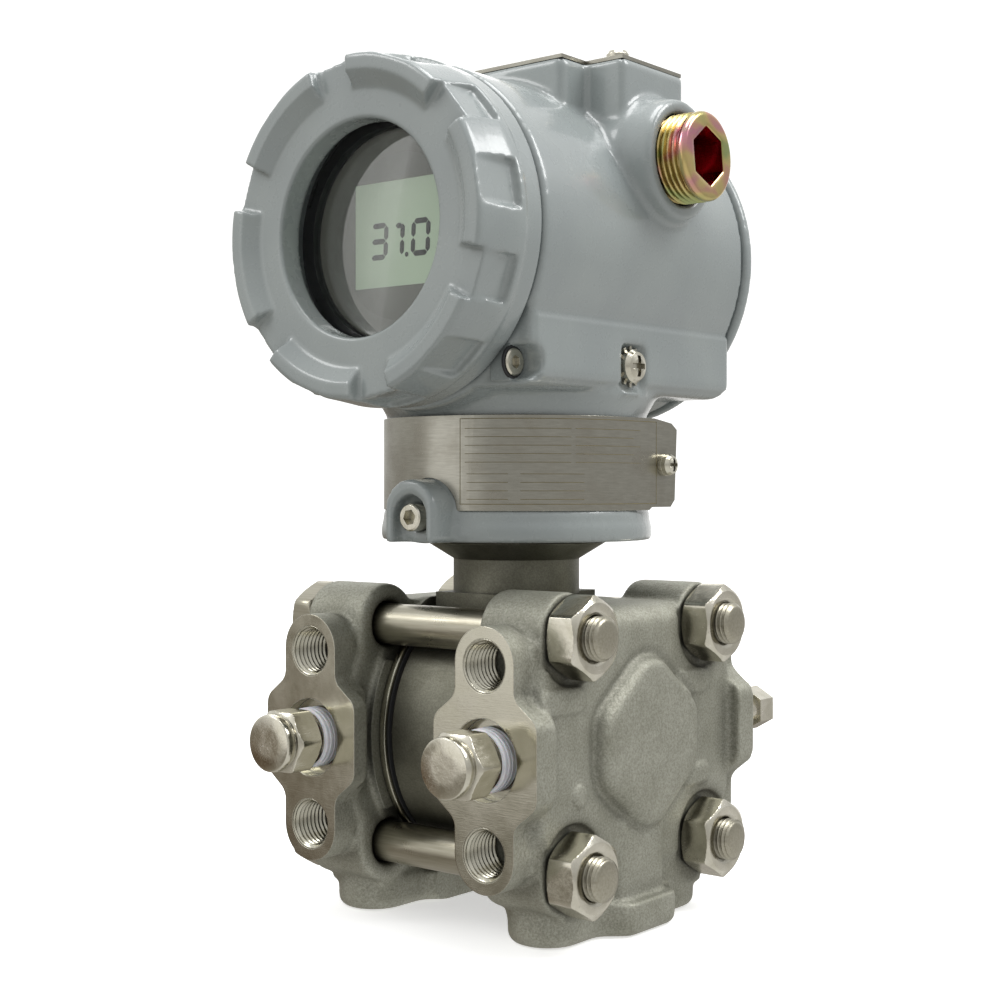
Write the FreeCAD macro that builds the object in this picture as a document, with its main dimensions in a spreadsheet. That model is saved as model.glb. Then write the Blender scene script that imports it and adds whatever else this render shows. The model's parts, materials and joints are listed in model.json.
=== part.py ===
# Differential pressure transmitter: two-port wetted body on process flanges, electronics housing turning on its neck.
# Millimetres. The origin is the centre of the eight-hole face of the two process flanges, in the plane of their
# machined front faces. +X is the side of the flange nuts, +Z is up, and the display looks along -Y.
import FreeCAD, Part
import math
import os
from FreeCAD import Placement, Rotation, Vector

doc = FreeCAD.newDocument("differential_pressure_transmitter")
sheet = doc.addObject("Spreadsheet::Sheet", "dims")


class Size:
    """A length or angle together with the sheet expression that it comes from."""

    def __init__(self, value, text):
        self.value = float(value)
        self.text = text

    def __add__(self, other):
        other = size(other)
        return Size(self.value + other.value, "(%s + %s)" % (self.text, other.text))

    def __radd__(self, other):
        return size(other) + self

    def __sub__(self, other):
        other = size(other)
        return Size(self.value - other.value, "(%s - %s)" % (self.text, other.text))

    def __rsub__(self, other):
        return size(other) - self

    def __mul__(self, other):
        other = size(other)
        return Size(self.value * other.value, "(%s * %s)" % (self.text, other.text))

    def __rmul__(self, other):
        return size(other) * self

    def __truediv__(self, other):
        other = size(other)
        return Size(self.value / other.value, "(%s / %s)" % (self.text, other.text))

    def __neg__(self):
        return size(0) - self


def size(x):
    if isinstance(x, Size):
        return x
    return Size(x, repr(float(x)))


class Dims:
    pass


D = Dims()
cells = [
    # alias, value, what it is
    ("port_half", 27.0, "half of the spacing of the two process ports"),
    ("tap_half", 20.65, "half of the spacing of the two tapped holes of a port"),
    ("tap_r", 5.56, "tapped hole 7/16-20"),
    ("tap_deep", 11.0, "depth of a tapped hole, short of the flange bolts behind it"),
    ("tap_mouth_r", 6.05, "chamfer at the mouth of a tapped hole"),
    ("neck_y", 45.15, "axis of the neck and middle of the flanges"),
    ("rear_y", 90.3, "rear face of the flanges"),
    ("slab_in", 18.0, "inner side of the flange slab"),
    ("slab_out", 38.0, "outer side of the flange slab"),
    ("slab_half_z", 32.0, "half height of the slab between its bolt lobes"),
    ("lobe_r", 9.8, "radius of a bolt lobe"),
    ("bolt_half_y", 27.0, "half spacing of the flange bolts along the flange"),
    ("bolt_half_z", 26.5, "half spacing of the flange bolts in height"),
    ("plate_half_y", 39.25, "half length of the middle plate"),
    ("plate_half_z", 16.0, "half height of the middle plate at its ends"),
    ("boss_mid", 14.7, "half width of a boss across its middle"),
    ("boss_end", 8.35, "half width of a boss at its ends"),
    ("boss_long", 29.4, "half length of a boss"),
    ("boss_deep", 7.4, "depth of a boss"),
    ("boss_mid_run", 8.9, "half length of the wide part"),
    ("boss_end_run", 13.8, "where the narrow ends start"),
    ("foot_z", -44.0, "bottom of the feet"),
    ("foot_deep", 8.0, "depth of a foot"),
    ("foot_end", 9.0, "half width of a foot at its ends"),
    ("foot_long", 31.5, "half length of a foot"),
    ("seat_r", 35.5, "radius of the raised seat of the gasket"),
    ("seat_x", 13.8, "height of the seat from the middle"),
    ("bolt_hole_r", 5.5, "clearance hole of a flange bolt"),
    ("spot_r", 11.2, "spot face under a nut or a head"),
    ("spot_x", 36.4, "height of the spot faces"),
    ("port_recess_r", 9.2, "recess around the port"),
    ("port_recess_deep", 3.2, "depth of that recess"),
    ("port_r", 6.65, "bore of a port"),
    ("port_deep", 16.0, "depth of a port"),
    ("duct_r", 3.2, "duct between front and rear port"),
    ("chamber_r", 23.5, "radius of the pressure chamber"),
    ("chamber_deep", 1.6, "depth of the pressure chamber"),
    ("pad_y_near", 26.5, "diamond pad, front corner"),
    ("pad_y_far", 66.5, "diamond pad, rear corner"),
    ("pad_y_low", 43.0, "diamond pad, front end of its top edge"),
    ("pad_y_high", 50.5, "diamond pad, rear end of its top edge"),
    ("pad_half_z", 20.0, "diamond pad, half height"),
    ("pad_side_z", 7.5, "diamond pad, half height of its ends"),
    ("pad_high", 2.0, "height of the diamond pad"),
    ("bolt_r", 5.0, "shank of a flange bolt"),
    ("bolt_core_r", 4.5, "thread of a flange bolt"),
    ("bolt_end", 47.4, "end of a flange bolt"),
    ("hex_flats", 17.0, "nut and head, across flats"),
    ("head_high", 7.0, "height of a bolt head"),
    ("nut_high", 8.1, "height of a nut"),
    ("nut_bore_r", 4.55, "bore of a nut"),
    ("nut_chamfer", 1.0, "chamfer of the corners of a nut"),
    ("plug_disc_r", 6.75, "end of a process plug"),
    ("plug_flats", 14.0, "process plug, across flats"),
    ("plug_front", -13.5, "front of a process plug"),
    ("plug_thread_r", 6.6, "thread of a process plug"),
    ("tape_r", 7.1, "outside of the thread tape"),
    ("capsule_r", 32.0, "capsule of the sensor"),
    ("capsule_x", 12.8, "half thickness of the capsule"),
    ("gasket_in", 24.5, "gasket, inside"),
    ("gasket_out", 31.0, "gasket, outside"),
    ("neck_r", 15.67, "neck of the sensor"),
    ("neck_low", 33.5, "bottom of the neck"),
    ("neck_high", 42.1, "top of the straight neck"),
    ("cone_r", 22.3, "cone under the housing"),
    ("cone_z", 46.2, "top of that cone"),
    ("spigot_r", 22.0, "spigot inside the housing"),
    ("spigot_z", 66.0, "top of the spigot"),
    ("wire_bore_r", 8.0, "bore for the wiring"),
    ("axis_z", 117.3, "axis of the housing"),
    ("barrel_r", 39.8, "housing barrel"),
    ("barrel_front", 5.4, "front face of the housing"),
    ("barrel_rear", 87.5, "rear face of the housing"),
    ("cheek_x", 35.0, "flat sides under the barrel"),
    ("cheek_low", 82.0, "bottom of the flat sides"),
    ("cheek_top", 98.2, "top of the flat sides in front"),
    ("cheek_top_rear", 100.5, "top of the flat sides behind"),
    ("throat_r", 32.1, "neck of the housing"),
    ("collar_low", 46.85, "bottom of the housing"),
    ("collar_mid", 50.8, "step of the collar"),
    ("collar_top", 54.0, "top of the collar"),
    ("collar_r", 33.5, "lower collar"),
    ("collar_upper_r", 33.0, "upper collar"),
    ("arch_half", 7.55, "half width of the arched boss"),
    ("arch_front", 5.08, "front of the arched boss"),
    ("arch_recess", 5.15, "half width of its recess"),
    ("arch_recess_z", 52.85, "centre of the recess arch"),
    ("arch_deep", 4.0, "depth of the recess"),
    ("roof_z", 160.2, "top of the housing"),
    ("roof_x", 24.6, "half width of the long block on top"),
    ("roof_front", 31.2, "front of that block"),
    ("wing_x", 35.3, "half width of the short block on top"),
    ("wing_front", 40.7, "front of that block"),
    ("wing_rear", 67.0, "rear of that block"),
    ("conduit_y", 54.0, "conduit entries"),
    ("conduit_z", 137.2, "height of the conduit entries"),
    ("conduit_root_r", 16.0, "conduit boss at the block"),
    ("conduit_end_r", 14.0, "conduit boss at its face"),
    ("conduit_x", 43.3, "face of a conduit boss"),
    ("conduit_bore_r", 10.7, "threaded bore of a conduit entry"),
    ("conduit_deep", 11.8, "depth of the threaded bore from the face"),
    ("conduit_throat_r", 9.6, "plain throat behind the thread"),
    ("cavity_r", 33.0, "inside of the housing"),
    ("screw_bore_r", 36.8, "bore that takes a cover"),
    ("front_floor", 42.0, "floor of the front chamber"),
    ("rear_floor", 50.0, "floor of the rear chamber"),
    ("cover_rim_r", 39.4, "display cover at the seam"),
    ("cover_r", 39.7, "display cover at its widest"),
    ("cover_nose_r", 37.7, "display cover at its crests"),
    ("cover_rear", 5.1, "rear of the cover flange"),
    ("cover_face", -12.1, "face ring of the display cover"),
    ("cover_crest", -15.1, "crests of the display cover"),
    ("cover_spigot_r", 36.5, "spigot of a cover"),
    ("cover_inner_r", 33.6, "inside of a cover spigot"),
    ("window_r", 24.3, "window opening"),
    ("glass_r", 27.5, "window glass"),
    ("rear_cover_r", 40.6, "rear cover"),
    ("rear_cover_front", 87.8, "front of the rear cover flange"),
    ("rear_cover_end", 91.7, "end of the rear cover"),
    ("lcd_y", 2.5, "plane of the dial"),
    ("dial_r", 19.2, "edge of the dial"),
    ("bezel_r", 24.2, "outside of the display bezel"),
    ("lcd_half_x", 14.5, "half width of the liquid crystal panel"),
    ("lcd_low", 105.9, "bottom of the panel"),
    ("lcd_high", 130.3, "top of the panel"),
    ("band_in", 32.15, "label band, inside"),
    ("band_out", 32.95, "label band, outside"),
    ("band_low", 54.2, "label band, bottom"),
    ("band_high", 76.4, "label band, top"),
    ("plate_thick", 0.9, "tag plate"),
    ("button_x", 9.0, "buttons, to either side"),
    ("button_r", 3.0, "button"),
    ("button_well_r", 3.3, "well of a button"),
    ("button_top", 159.6, "top of a button at rest"),
    ("well_floor", 151.5, "floor of a button well"),
    ("lock_x", 28.9, "seat of a cover lock screw"),
    ("lock_front_y", 6.9, "lock screw of the display cover"),
    ("lock_rear_y", 83.4, "lock screw of the rear cover"),
    ("lock_z", 87.25, "height of the lock screws"),
    ("turn_gap", 0.3, "clearance between pieces that turn"),
]
sheet.set("A1", "name")
sheet.set("B1", "value")
sheet.set("C1", "meaning")
for i, (alias, value, note) in enumerate(cells):
    sheet.set("A%d" % (i + 2), alias)
    sheet.set("B%d" % (i + 2), str(value))
    sheet.set("C%d" % (i + 2), note)
    sheet.setAlias("B%d" % (i + 2), alias)
    setattr(D, alias, Size(value, "dims." + alias))
doc.recompute()

ALONG_X = Rotation(Vector(0, 1, 0), 90)
ALONG_Y = Rotation(Vector(1, 0, 0), -90)
ALONG_Z = Rotation()
AXES = {"X": ALONG_X, "Y": ALONG_Y, "Z": ALONG_Z}


def bind(obj, prop, q):
    q = size(q)
    if "dims." in q.text:
        obj.setExpression(prop, q.text)
    else:
        setattr(obj, prop, q.value)


def place(obj, at, rotation=ALONG_Z):
    at = [size(a) for a in at]
    obj.Placement = Placement(Vector(*[a.value for a in at]), rotation)
    for letter, a in zip("xyz", at):
        if "dims." in a.text:
            obj.setExpression("Placement.Base." + letter, a.text)
    return obj


def add(kind, label):
    obj = doc.addObject(kind, label)
    obj.Label = label
    return obj


def cyl(label, r, long, at, axis="Z", spin=0.0):
    o = add("Part::Cylinder", label)
    bind(o, "Radius", r)
    bind(o, "Height", long)
    return place(o, at, AXES[axis] * Rotation(Vector(0, 0, 1), spin))


def cone(label, r1, r2, long, at, axis="Z"):
    o = add("Part::Cone", label)
    bind(o, "Radius1", r1)
    bind(o, "Radius2", r2)
    bind(o, "Height", long)
    return place(o, at, AXES[axis])


def ring(label, major, minor, at, axis="Z"):
    o = add("Part::Torus", label)
    bind(o, "Radius1", major)
    bind(o, "Radius2", minor)
    return place(o, at, AXES[axis])


def box(label, x0, x1, y0, y1, z0, z1):
    o = add("Part::Box", label)
    x0, x1, y0, y1, z0, z1 = [size(v) for v in (x0, x1, y0, y1, z0, z1)]
    bind(o, "Length", x1 - x0)
    bind(o, "Width", y1 - y0)
    bind(o, "Height", z1 - z0)
    return place(o, (x0, y0, z0))


def hexagon(label, flats, long, at, axis="Z", spin=0.0):
    o = add("Part::Prism", label)
    o.Polygon = 6
    bind(o, "Circumradius", size(flats) / math.sqrt(3))
    bind(o, "Height", long)
    return place(o, at, AXES[axis] * Rotation(Vector(0, 0, 1), spin))


def fuse(label, *shapes):
    o = add("Part::MultiFuse", label)
    o.Shapes = list(shapes)
    o.Refine = True
    return o


def cut(label, base, *tools):
    o = add("Part::Cut", label)
    o.Base = base
    o.Tool = tools[0] if len(tools) == 1 else fuse(label + "_tools", *tools)
    o.Refine = True
    return o


def common(label, *shapes):
    o = add("Part::MultiCommon", label)
    o.Shapes = list(shapes)
    o.Refine = True
    return o


def group(label, *shapes):
    o = add("Part::Compound", label)
    o.Links = list(shapes)
    return o


def edges_where(obj, test):
    doc.recompute()
    found = []
    for i, e in enumerate(obj.Shape.Edges):
        if e.isNull() or e.Length < 1e-6:
            continue
        mid = e.valueAt((e.FirstParameter + e.LastParameter) / 2)
        if test(e, mid):
            found.append(i + 1)
    return found


def straight(e, letter):
    if e.Curve.TypeId != "Part::GeomLine":
        return False
    return abs(abs(getattr(e.tangentAt(e.FirstParameter), letter)) - 1) < 1e-4


def near(a, b, tol=0.02):
    b = b.value if isinstance(b, Size) else b
    return abs(a - b) < tol


def fillet(label, base, r, test):
    o = add("Part::Fillet", label)
    o.Base = base
    o.Edges = [(i, float(r), float(r)) for i in edges_where(base, test)]
    return o


def chamfer(label, base, r, test):
    o = add("Part::Chamfer", label)
    o.Base = base
    o.Edges = [(i, float(r), float(r)) for i in edges_where(base, test)]
    return o


def mirrored(label, source):
    o = add("Part::Mirroring", label)
    o.Source = source
    o.Normal = (1, 0, 0)
    o.Base = (0, 0, 0)
    return o


# Sketches: every corner is held by a distance to each axis of the sketch, taken from the sheet.
def hold(sk, geo, pos, letter, q):
    import Sketcher

    q = size(q)
    kind, axis = ("DistanceX", -2) if letter == "x" else ("DistanceY", -1)
    if abs(q.value) < 1e-9:
        sk.addConstraint(Sketcher.Constraint("PointOnObject", geo, pos, axis))
        return
    if q.value > 0:
        n = sk.addConstraint(Sketcher.Constraint(kind, -1, 1, geo, pos, q.value))
        text = q.text
    else:
        n = sk.addConstraint(Sketcher.Constraint(kind, geo, pos, -1, 1, -q.value))
        text = "-1 * " + q.text
    if "dims." in text:
        sk.setExpression("Constraints[%d]" % n, text)


def outline(sk, points):
    import Sketcher

    points = [(size(a), size(b)) for a, b in points]
    first = len(sk.Geometry)
    count = len(points)
    for i in range(count):
        a, b = points[i], points[(i + 1) % count]
        sk.addGeometry(Part.LineSegment(Vector(a[0].value, a[1].value, 0), Vector(b[0].value, b[1].value, 0)), False)
    for i in range(count):
        sk.addConstraint(Sketcher.Constraint("Coincident", first + i, 2, first + (i + 1) % count, 1))
    for i, (a, b) in enumerate(points):
        hold(sk, first + i, 1, "x", a)
        hold(sk, first + i, 1, "y", b)


def circle(sk, at, r):
    import Sketcher

    a, b, r = size(at[0]), size(at[1]), size(r)
    g = sk.addGeometry(Part.Circle(Vector(a.value, b.value, 0), Vector(0, 0, 1), r.value), False)
    if abs(a.value) < 1e-9 and abs(b.value) < 1e-9:
        sk.addConstraint(Sketcher.Constraint("Coincident", g, 3, -1, 1))
    else:
        hold(sk, g, 3, "x", a)
        hold(sk, g, 3, "y", b)
    n = sk.addConstraint(Sketcher.Constraint("Radius", g, r.value))
    if "dims." in r.text:
        sk.setExpression("Constraints[%d]" % n, r.text)


def body(label, at=(0, 0, 0), rotation=ALONG_Z):
    b = add("PartDesign::Body", label)
    return place(b, at, rotation)


def sketch(b, name, role="XY_Plane", offset=None):
    sk = b.newObject("Sketcher::SketchObject", name)
    plane = [f for f in b.Origin.OriginFeatures if f.Role == role][0]
    sk.AttachmentSupport = [(plane, "")]
    sk.MapMode = "FlatFace"
    if offset is not None:
        offset = size(offset)
        sk.AttachmentOffset = Placement(Vector(0, 0, offset.value), Rotation())
        if "dims." in offset.text:
            sk.setExpression("AttachmentOffset.Base.z", offset.text)
    return sk


def turned(b, name, points):
    """A solid of revolution about the body's own Z axis: points are (radius, height)."""
    sk = sketch(b, name + "_profile", "XZ_Plane")
    outline(sk, points)
    f = b.newObject("PartDesign::Revolution", name)
    f.Profile = sk
    f.ReferenceAxis = (sk, ["V_Axis"])
    f.Angle = 360.0
    doc.recompute()
    return f


def padded(b, name, points, base, long):
    sk = sketch(b, name + "_outline", "XY_Plane", base)
    outline(sk, points)
    f = b.newObject("PartDesign::Pad", name)
    f.Profile = sk
    bind(f, "Length", long)
    doc.recompute()
    return f


def pocketed(b, name, base, long, points=None, hole=None):
    """A pocket that starts at height base of the body and goes up along its Z axis."""
    before = b.Shape.Volume
    sk = sketch(b, name + "_outline", "XY_Plane", base)
    if points:
        outline(sk, points)
    if hole:
        circle(sk, hole[0], hole[1])
    f = b.newObject("PartDesign::Pocket", name)
    f.Profile = sk
    bind(f, "Length", long)
    f.Reversed = True
    doc.recompute()
    if b.Shape.Volume >= before - 1e-6:
        f.Reversed = False
        doc.recompute()
    if b.Shape.Volume >= before - 1e-6:
        raise RuntimeError(name + " cuts nothing")
    return f


def around(b, name, feature, times):
    f = b.newObject("PartDesign::PolarPattern", name)
    f.Originals = [feature]
    f.Axis = (feature.Profile[0], ["N_Axis"])
    f.Angle = 360.0
    f.Occurrences = times
    b.Tip = f
    doc.recompute()
    return f


NODES = []


def node(obj):
    NODES.append(obj)
    return obj


# ---------------------------------------------------------------- process flanges
def boss_outline(label, end, mid, long, depth, at, rotation):
    """The dog-bone boss: a wide middle and two narrow round ends, with soft corners."""
    c = long - end
    parts = [
        box(label + "_bar", -end, end, -c, c, 0, depth),
        box(label + "_middle", -mid, mid, -D.boss_mid_run, D.boss_mid_run, 0, depth),
        cyl(label + "_end_a", end, depth, (0, c, 0)),
        cyl(label + "_end_b", end, depth, (0, -c, 0)),
    ]
    # sloped shoulders between the middle and the ends
    sk = add("Sketcher::SketchObject", label + "_shoulder_sketch")
    outline(sk, [
        (end, D.boss_end_run), (mid, D.boss_mid_run), (mid, -D.boss_mid_run), (end, -D.boss_end_run),
        (-end, -D.boss_end_run), (-mid, -D.boss_mid_run), (-mid, D.boss_mid_run), (-end, D.boss_end_run)])
    ex = add("Part::Extrusion", label + "_shoulder")
    ex.Base = sk
    ex.DirMode = "Custom"
    ex.Dir = Vector(0, 0, 1)
    bind(ex, "LengthFwd", depth)
    ex.Solid = True
    parts.append(ex)
    raw = fuse(label + "_raw", *parts)
    soft = fillet(label + "_soft", raw, 4.0, lambda e, m: straight(e, "z") and (
        near(abs(m.y), D.boss_end_run) or near(abs(m.y), D.boss_mid_run)))
    return place(soft, at, rotation)


front_boss = boss_outline("front_boss", D.boss_end, D.boss_mid, D.boss_long, D.boss_deep,
                          (D.port_half, D.boss_deep, 0), Rotation(Vector(1, 0, 0), 90))
rear_boss = boss_outline("rear_boss", D.boss_end, D.boss_mid, D.boss_long, D.boss_deep,
                         (D.port_half, D.rear_y, 0), Rotation(Vector(1, 0, 0), 90))
foot = boss_outline("foot", D.foot_end, D.boss_mid, D.foot_long, D.foot_deep,
                    (D.port_half, D.neck_y, D.foot_z), ALONG_Z)
foot = fillet("foot_soft_bottom", foot, 2.4, lambda e, m: near(m.z, D.foot_z))
bolt_ys = (D.neck_y - D.bolt_half_y, D.neck_y + D.bolt_half_y)
bolt_zs = (D.bolt_half_z, -D.bolt_half_z)
slab_long = D.slab_out - D.slab_in
slab_sketch = add("Sketcher::SketchObject", "slab_sketch")
reach = D.bolt_half_y + D.lobe_r
outline(slab_sketch, [
    (D.neck_y - reach, -D.bolt_half_z), (D.neck_y - reach, -D.plate_half_z - 4.5),
    (D.neck_y - D.plate_half_y, -D.plate_half_z), (D.neck_y - D.plate_half_y, D.plate_half_z),
    (D.neck_y - reach, D.plate_half_z + 4.5), (D.neck_y - reach, D.bolt_half_z),
    (D.neck_y + reach, D.bolt_half_z), (D.neck_y + reach, D.plate_half_z + 4.5),
    (D.neck_y + D.plate_half_y, D.plate_half_z), (D.neck_y + D.plate_half_y, -D.plate_half_z),
    (D.neck_y + reach, -D.plate_half_z - 4.5), (D.neck_y + reach, -D.bolt_half_z)])
slab_sketch.Placement = Placement(Vector(D.slab_in.value, 0, 0), Rotation(Vector(1, 1, 1), 120))
slab_sketch.setExpression("Placement.Base.x", D.slab_in.text)
slab_plate = add("Part::Extrusion", "slab_plate")
slab_plate.Base = slab_sketch
slab_plate.DirMode = "Custom"
slab_plate.Dir = Vector(1, 0, 0)
bind(slab_plate, "LengthFwd", slab_long)
slab_plate.Solid = True
slab_plate = fillet("slab_plate_outer", slab_plate, 2.2, lambda e, m: near(m.x, D.slab_out) and abs(m.y - D.neck_y.value) > 36.5)
slab_plate = fillet("slab_plate_inner", slab_plate, 1.2, lambda e, m: near(m.x, D.slab_in) and abs(m.y - D.neck_y.value) > 36.5)


def slab_lobe(y, z):
    o = cyl("slab_lobe_disc", D.lobe_r, slab_long, (D.slab_in, y, z), "X")
    o = fillet("slab_lobe_outer", o, 2.2, lambda e, m: near(m.x, D.slab_out))
    return fillet("slab_lobe", o, 1.2, lambda e, m: near(m.x, D.slab_in))


slab_soft = fuse(
    "slab_soft", slab_plate,
    fillet("slab_middle", box("slab_middle_box", D.slab_in, D.slab_out, bolt_ys[0], bolt_ys[1], -D.slab_half_z, D.slab_half_z),
           5.4, lambda e, m: straight(e, "y") and near(m.x, D.slab_out)),
    *[slab_lobe(y, z) for y in bolt_ys for z in bolt_zs])

web = fillet("foot_web", box("foot_web_box", D.slab_in + 1, D.slab_out - 1.5, bolt_ys[0] - 2, bolt_ys[1] + 2,
                             D.foot_z + D.foot_deep - 2, -D.slab_half_z + 4), 2.0, lambda e, m: straight(e, "z"))
rib = fillet("foot_rib", box("foot_rib_box", D.slab_out - 6, D.slab_out + 1.0, D.neck_y - 10.5, D.neck_y + 9, D.foot_z + D.foot_deep - 2,
                             -D.pad_half_z + 3), 3.0, lambda e, m: straight(e, "z"))
neck_front = fillet("boss_neck_front", box("boss_neck_front_box", D.slab_in + 1.6, D.slab_out - 2.0, D.boss_deep - 1,
                                           D.boss_deep + 5, -25.5, 25.5), 2.0, lambda e, m: straight(e, "y"))
neck_rear = fillet("boss_neck_rear", box("boss_neck_rear_box", D.slab_in + 1.6, D.slab_out - 2.0, D.rear_y - D.boss_deep - 5,
                                         D.rear_y - D.boss_deep + 1, -25.5, 25.5), 2.0, lambda e, m: straight(e, "y"))

seat = common("gasket_seat",
              cyl("gasket_seat_disc", D.seat_r, D.slab_in + 1 - D.seat_x, (D.seat_x, D.neck_y, 0), "X"),
              box("gasket_seat_clip", D.seat_x - 1, D.slab_in + 2, D.neck_y - 40, D.neck_y + 40, -32.5, 32.5))
seat = cut("gasket_seat_relieved", seat,
           *[cyl("gasket_seat_relief", 9.0, 4.6, (D.seat_x - 1, y, z), "X") for y in bolt_ys for z in bolt_zs])

pad_sketch = add("Sketcher::SketchObject", "diamond_pad_sketch")
outline(pad_sketch, [
    (D.pad_y_near, -D.pad_side_z), (D.pad_y_near, D.pad_side_z), (D.pad_y_low, D.pad_half_z),
    (D.pad_y_high, D.pad_half_z), (D.pad_y_far, D.pad_side_z), (D.pad_y_far, -D.pad_side_z),
    (D.pad_y_high, -D.pad_half_z), (D.pad_y_low, -D.pad_half_z)])
pad_sketch.Placement = Placement(Vector(D.slab_out.value - 1, 0, 0), Rotation(Vector(1, 1, 1), 120))
pad_sketch.setExpression("Placement.Base.x", (D.slab_out - 1).text)
pad_block = add("Part::Extrusion", "diamond_pad_block")
pad_block.Base = pad_sketch
pad_block.DirMode = "Custom"
pad_block.Dir = Vector(1, 0, 0)
bind(pad_block, "LengthFwd", D.pad_high + 1)
pad_block.Solid = True
pad_round = fillet("diamond_pad_round", pad_block, 5.5, lambda e, m: straight(e, "x"))
pad = chamfer("diamond_pad", pad_round, 1.9, lambda e, m: near(m.x, D.slab_out + D.pad_high))


def blank(label, y, z, half, r, turn):
    """A small raised cast blank on the outside of the flange."""
    o = fuse(label, box(label + "_bar", -half, half, -r, r, 0, 1.45),
             cyl(label + "_a", r, 1.45, (-half, 0, 0)), cyl(label + "_b", r, 1.45, (half, 0, 0)))
    turn = Rotation(Vector(1, 0, 0), turn)
    return place(o, (D.slab_out - 1, y, z), turn * Rotation(Vector(1, 1, 1), 120))


blanks = [
    blank("blank_a", 13.8, 12.4, 5.2, 3.0, 0),
    blank("blank_b", 66.6, 12.4, 4.2, 3.0, 0),
    blank("blank_c", 67.8, -10.6, 3.6, 2.5, 0),
    cyl("blank_d", 2.5, 1.4, (D.slab_out - 1, 20.3, -9.4), "X"),
]
flange_solid = fuse("flange_cast", slab_soft, front_boss, rear_boss, foot, web, rib, neck_front, neck_rear, seat, pad, *blanks)

flange_cuts = []
for y in bolt_ys:
    for z in bolt_zs:
        flange_cuts.append(cyl("bolt_hole", D.bolt_hole_r, 40, (8, y, z), "X"))
        flange_cuts.append(cyl("spot_face", D.spot_r, 8, (D.spot_x, y, z), "X"))
for z in (D.tap_half, -D.tap_half):
    flange_cuts.append(cyl("tapped_hole", D.tap_r, D.tap_deep + 1, (D.port_half, -1, z), "Y"))
    flange_cuts.append(cone("tapped_hole_tip", D.tap_r, 0.4, 2.6, (D.port_half, D.tap_deep, z), "Y"))
    flange_cuts.append(cone("tapped_hole_mouth", D.tap_mouth_r + 0.5, D.tap_r, D.tap_mouth_r - D.tap_r + 0.5,
                            (D.port_half, -0.5, z), "Y"))
flange_cuts += [
    cyl("port_recess", D.port_recess_r, D.port_recess_deep + 1, (D.port_half, -1, 0), "Y"),
    cyl("port_bore", D.port_r, D.port_deep + 1, (D.port_half, -1, 0), "Y"),
    cyl("vent_bore", D.port_r, D.port_deep, (D.port_half, D.rear_y - D.port_deep, 0), "Y"),
    cyl("duct", D.duct_r, D.rear_y - 20, (D.port_half, 10, 0), "Y"),
    cyl("cross_duct", D.duct_r, D.port_half - 10, (10, D.neck_y, 0), "X"),
    cyl("chamber", D.chamber_r, D.chamber_deep + 3, (D.seat_x - 3, D.neck_y, 0), "X"),
]
process_flange_right = node(cut("process_flange_right", flange_solid, *flange_cuts))
process_flange_left = node(mirrored("process_flange_left", process_flange_right))

# ---------------------------------------------------------------- flange bolts and nuts
turns = [0.0, -8.0, 22.0, 18.0]
spots = [(bolt_ys[0], bolt_zs[0]), (bolt_ys[1], bolt_zs[0]), (bolt_ys[0], bolt_zs[1]), (bolt_ys[1], bolt_zs[1])]
corner_r = D.hex_flats / math.sqrt(3)
bolt_solids, nut_solids = [], []
for k, (y, z) in enumerate(spots):
    head = hexagon("bolt_head_hex", D.hex_flats, D.head_high, (-D.spot_x - D.head_high, y, z), "X", 90 + turns[3 - k] / 2)
    dome = fuse("bolt_head_dome",
                cone("bolt_head_top", corner_r - D.nut_chamfer, corner_r, D.nut_chamfer * 0.55,
                     (-D.spot_x - D.head_high, y, z), "X"),
                cyl("bolt_head_side", corner_r, D.head_high - D.nut_chamfer * 0.55,
                    (-D.spot_x - D.head_high + D.nut_chamfer * 0.55, y, z), "X"))
    head = common("bolt_head", head, dome)
    bolt_solids.append(fuse(
        "flange_bolt", head,
        cyl("bolt_shank", D.bolt_r, D.spot_x * 2, (-D.spot_x, y, z), "X"),
        cyl("bolt_thread", D.bolt_core_r, D.bolt_end - D.spot_x - 0.8, (D.spot_x, y, z), "X"),
        cone("bolt_point", D.bolt_core_r, D.bolt_core_r - 0.7, 0.8, (D.bolt_end - 0.8, y, z), "X")))
    nut = hexagon("nut_hex", D.hex_flats, D.nut_high, (D.spot_x, y, z), "X", turns[k] + 90)
    round_off = fuse("nut_round",
                     cone("nut_round_a", corner_r - D.nut_chamfer, corner_r, D.nut_chamfer * 0.55, (D.spot_x, y, z), "X"),
                     cyl("nut_round_b", corner_r, D.nut_high - D.nut_chamfer * 1.1,
                         (D.spot_x + D.nut_chamfer * 0.55, y, z), "X"),
                     cone("nut_round_c", corner_r, corner_r - D.nut_chamfer, D.nut_chamfer * 0.55,
                          (D.spot_x + D.nut_high - D.nut_chamfer * 0.55, y, z), "X"))
    nut = common("nut_body", nut, round_off)
    nut_solids.append(cut(
        "flange_nut", nut,
        cyl("nut_bore", D.nut_bore_r, D.nut_high + 2, (D.spot_x - 1, y, z), "X"),
        cone("nut_mouth", D.nut_bore_r, D.nut_bore_r + 1.0, 1.0, (D.spot_x + D.nut_high - 0.7, y, z), "X")))
flange_bolts = node(group("flange_bolts", *bolt_solids))
flange_nuts = node(group("flange_nuts", *nut_solids))


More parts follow.
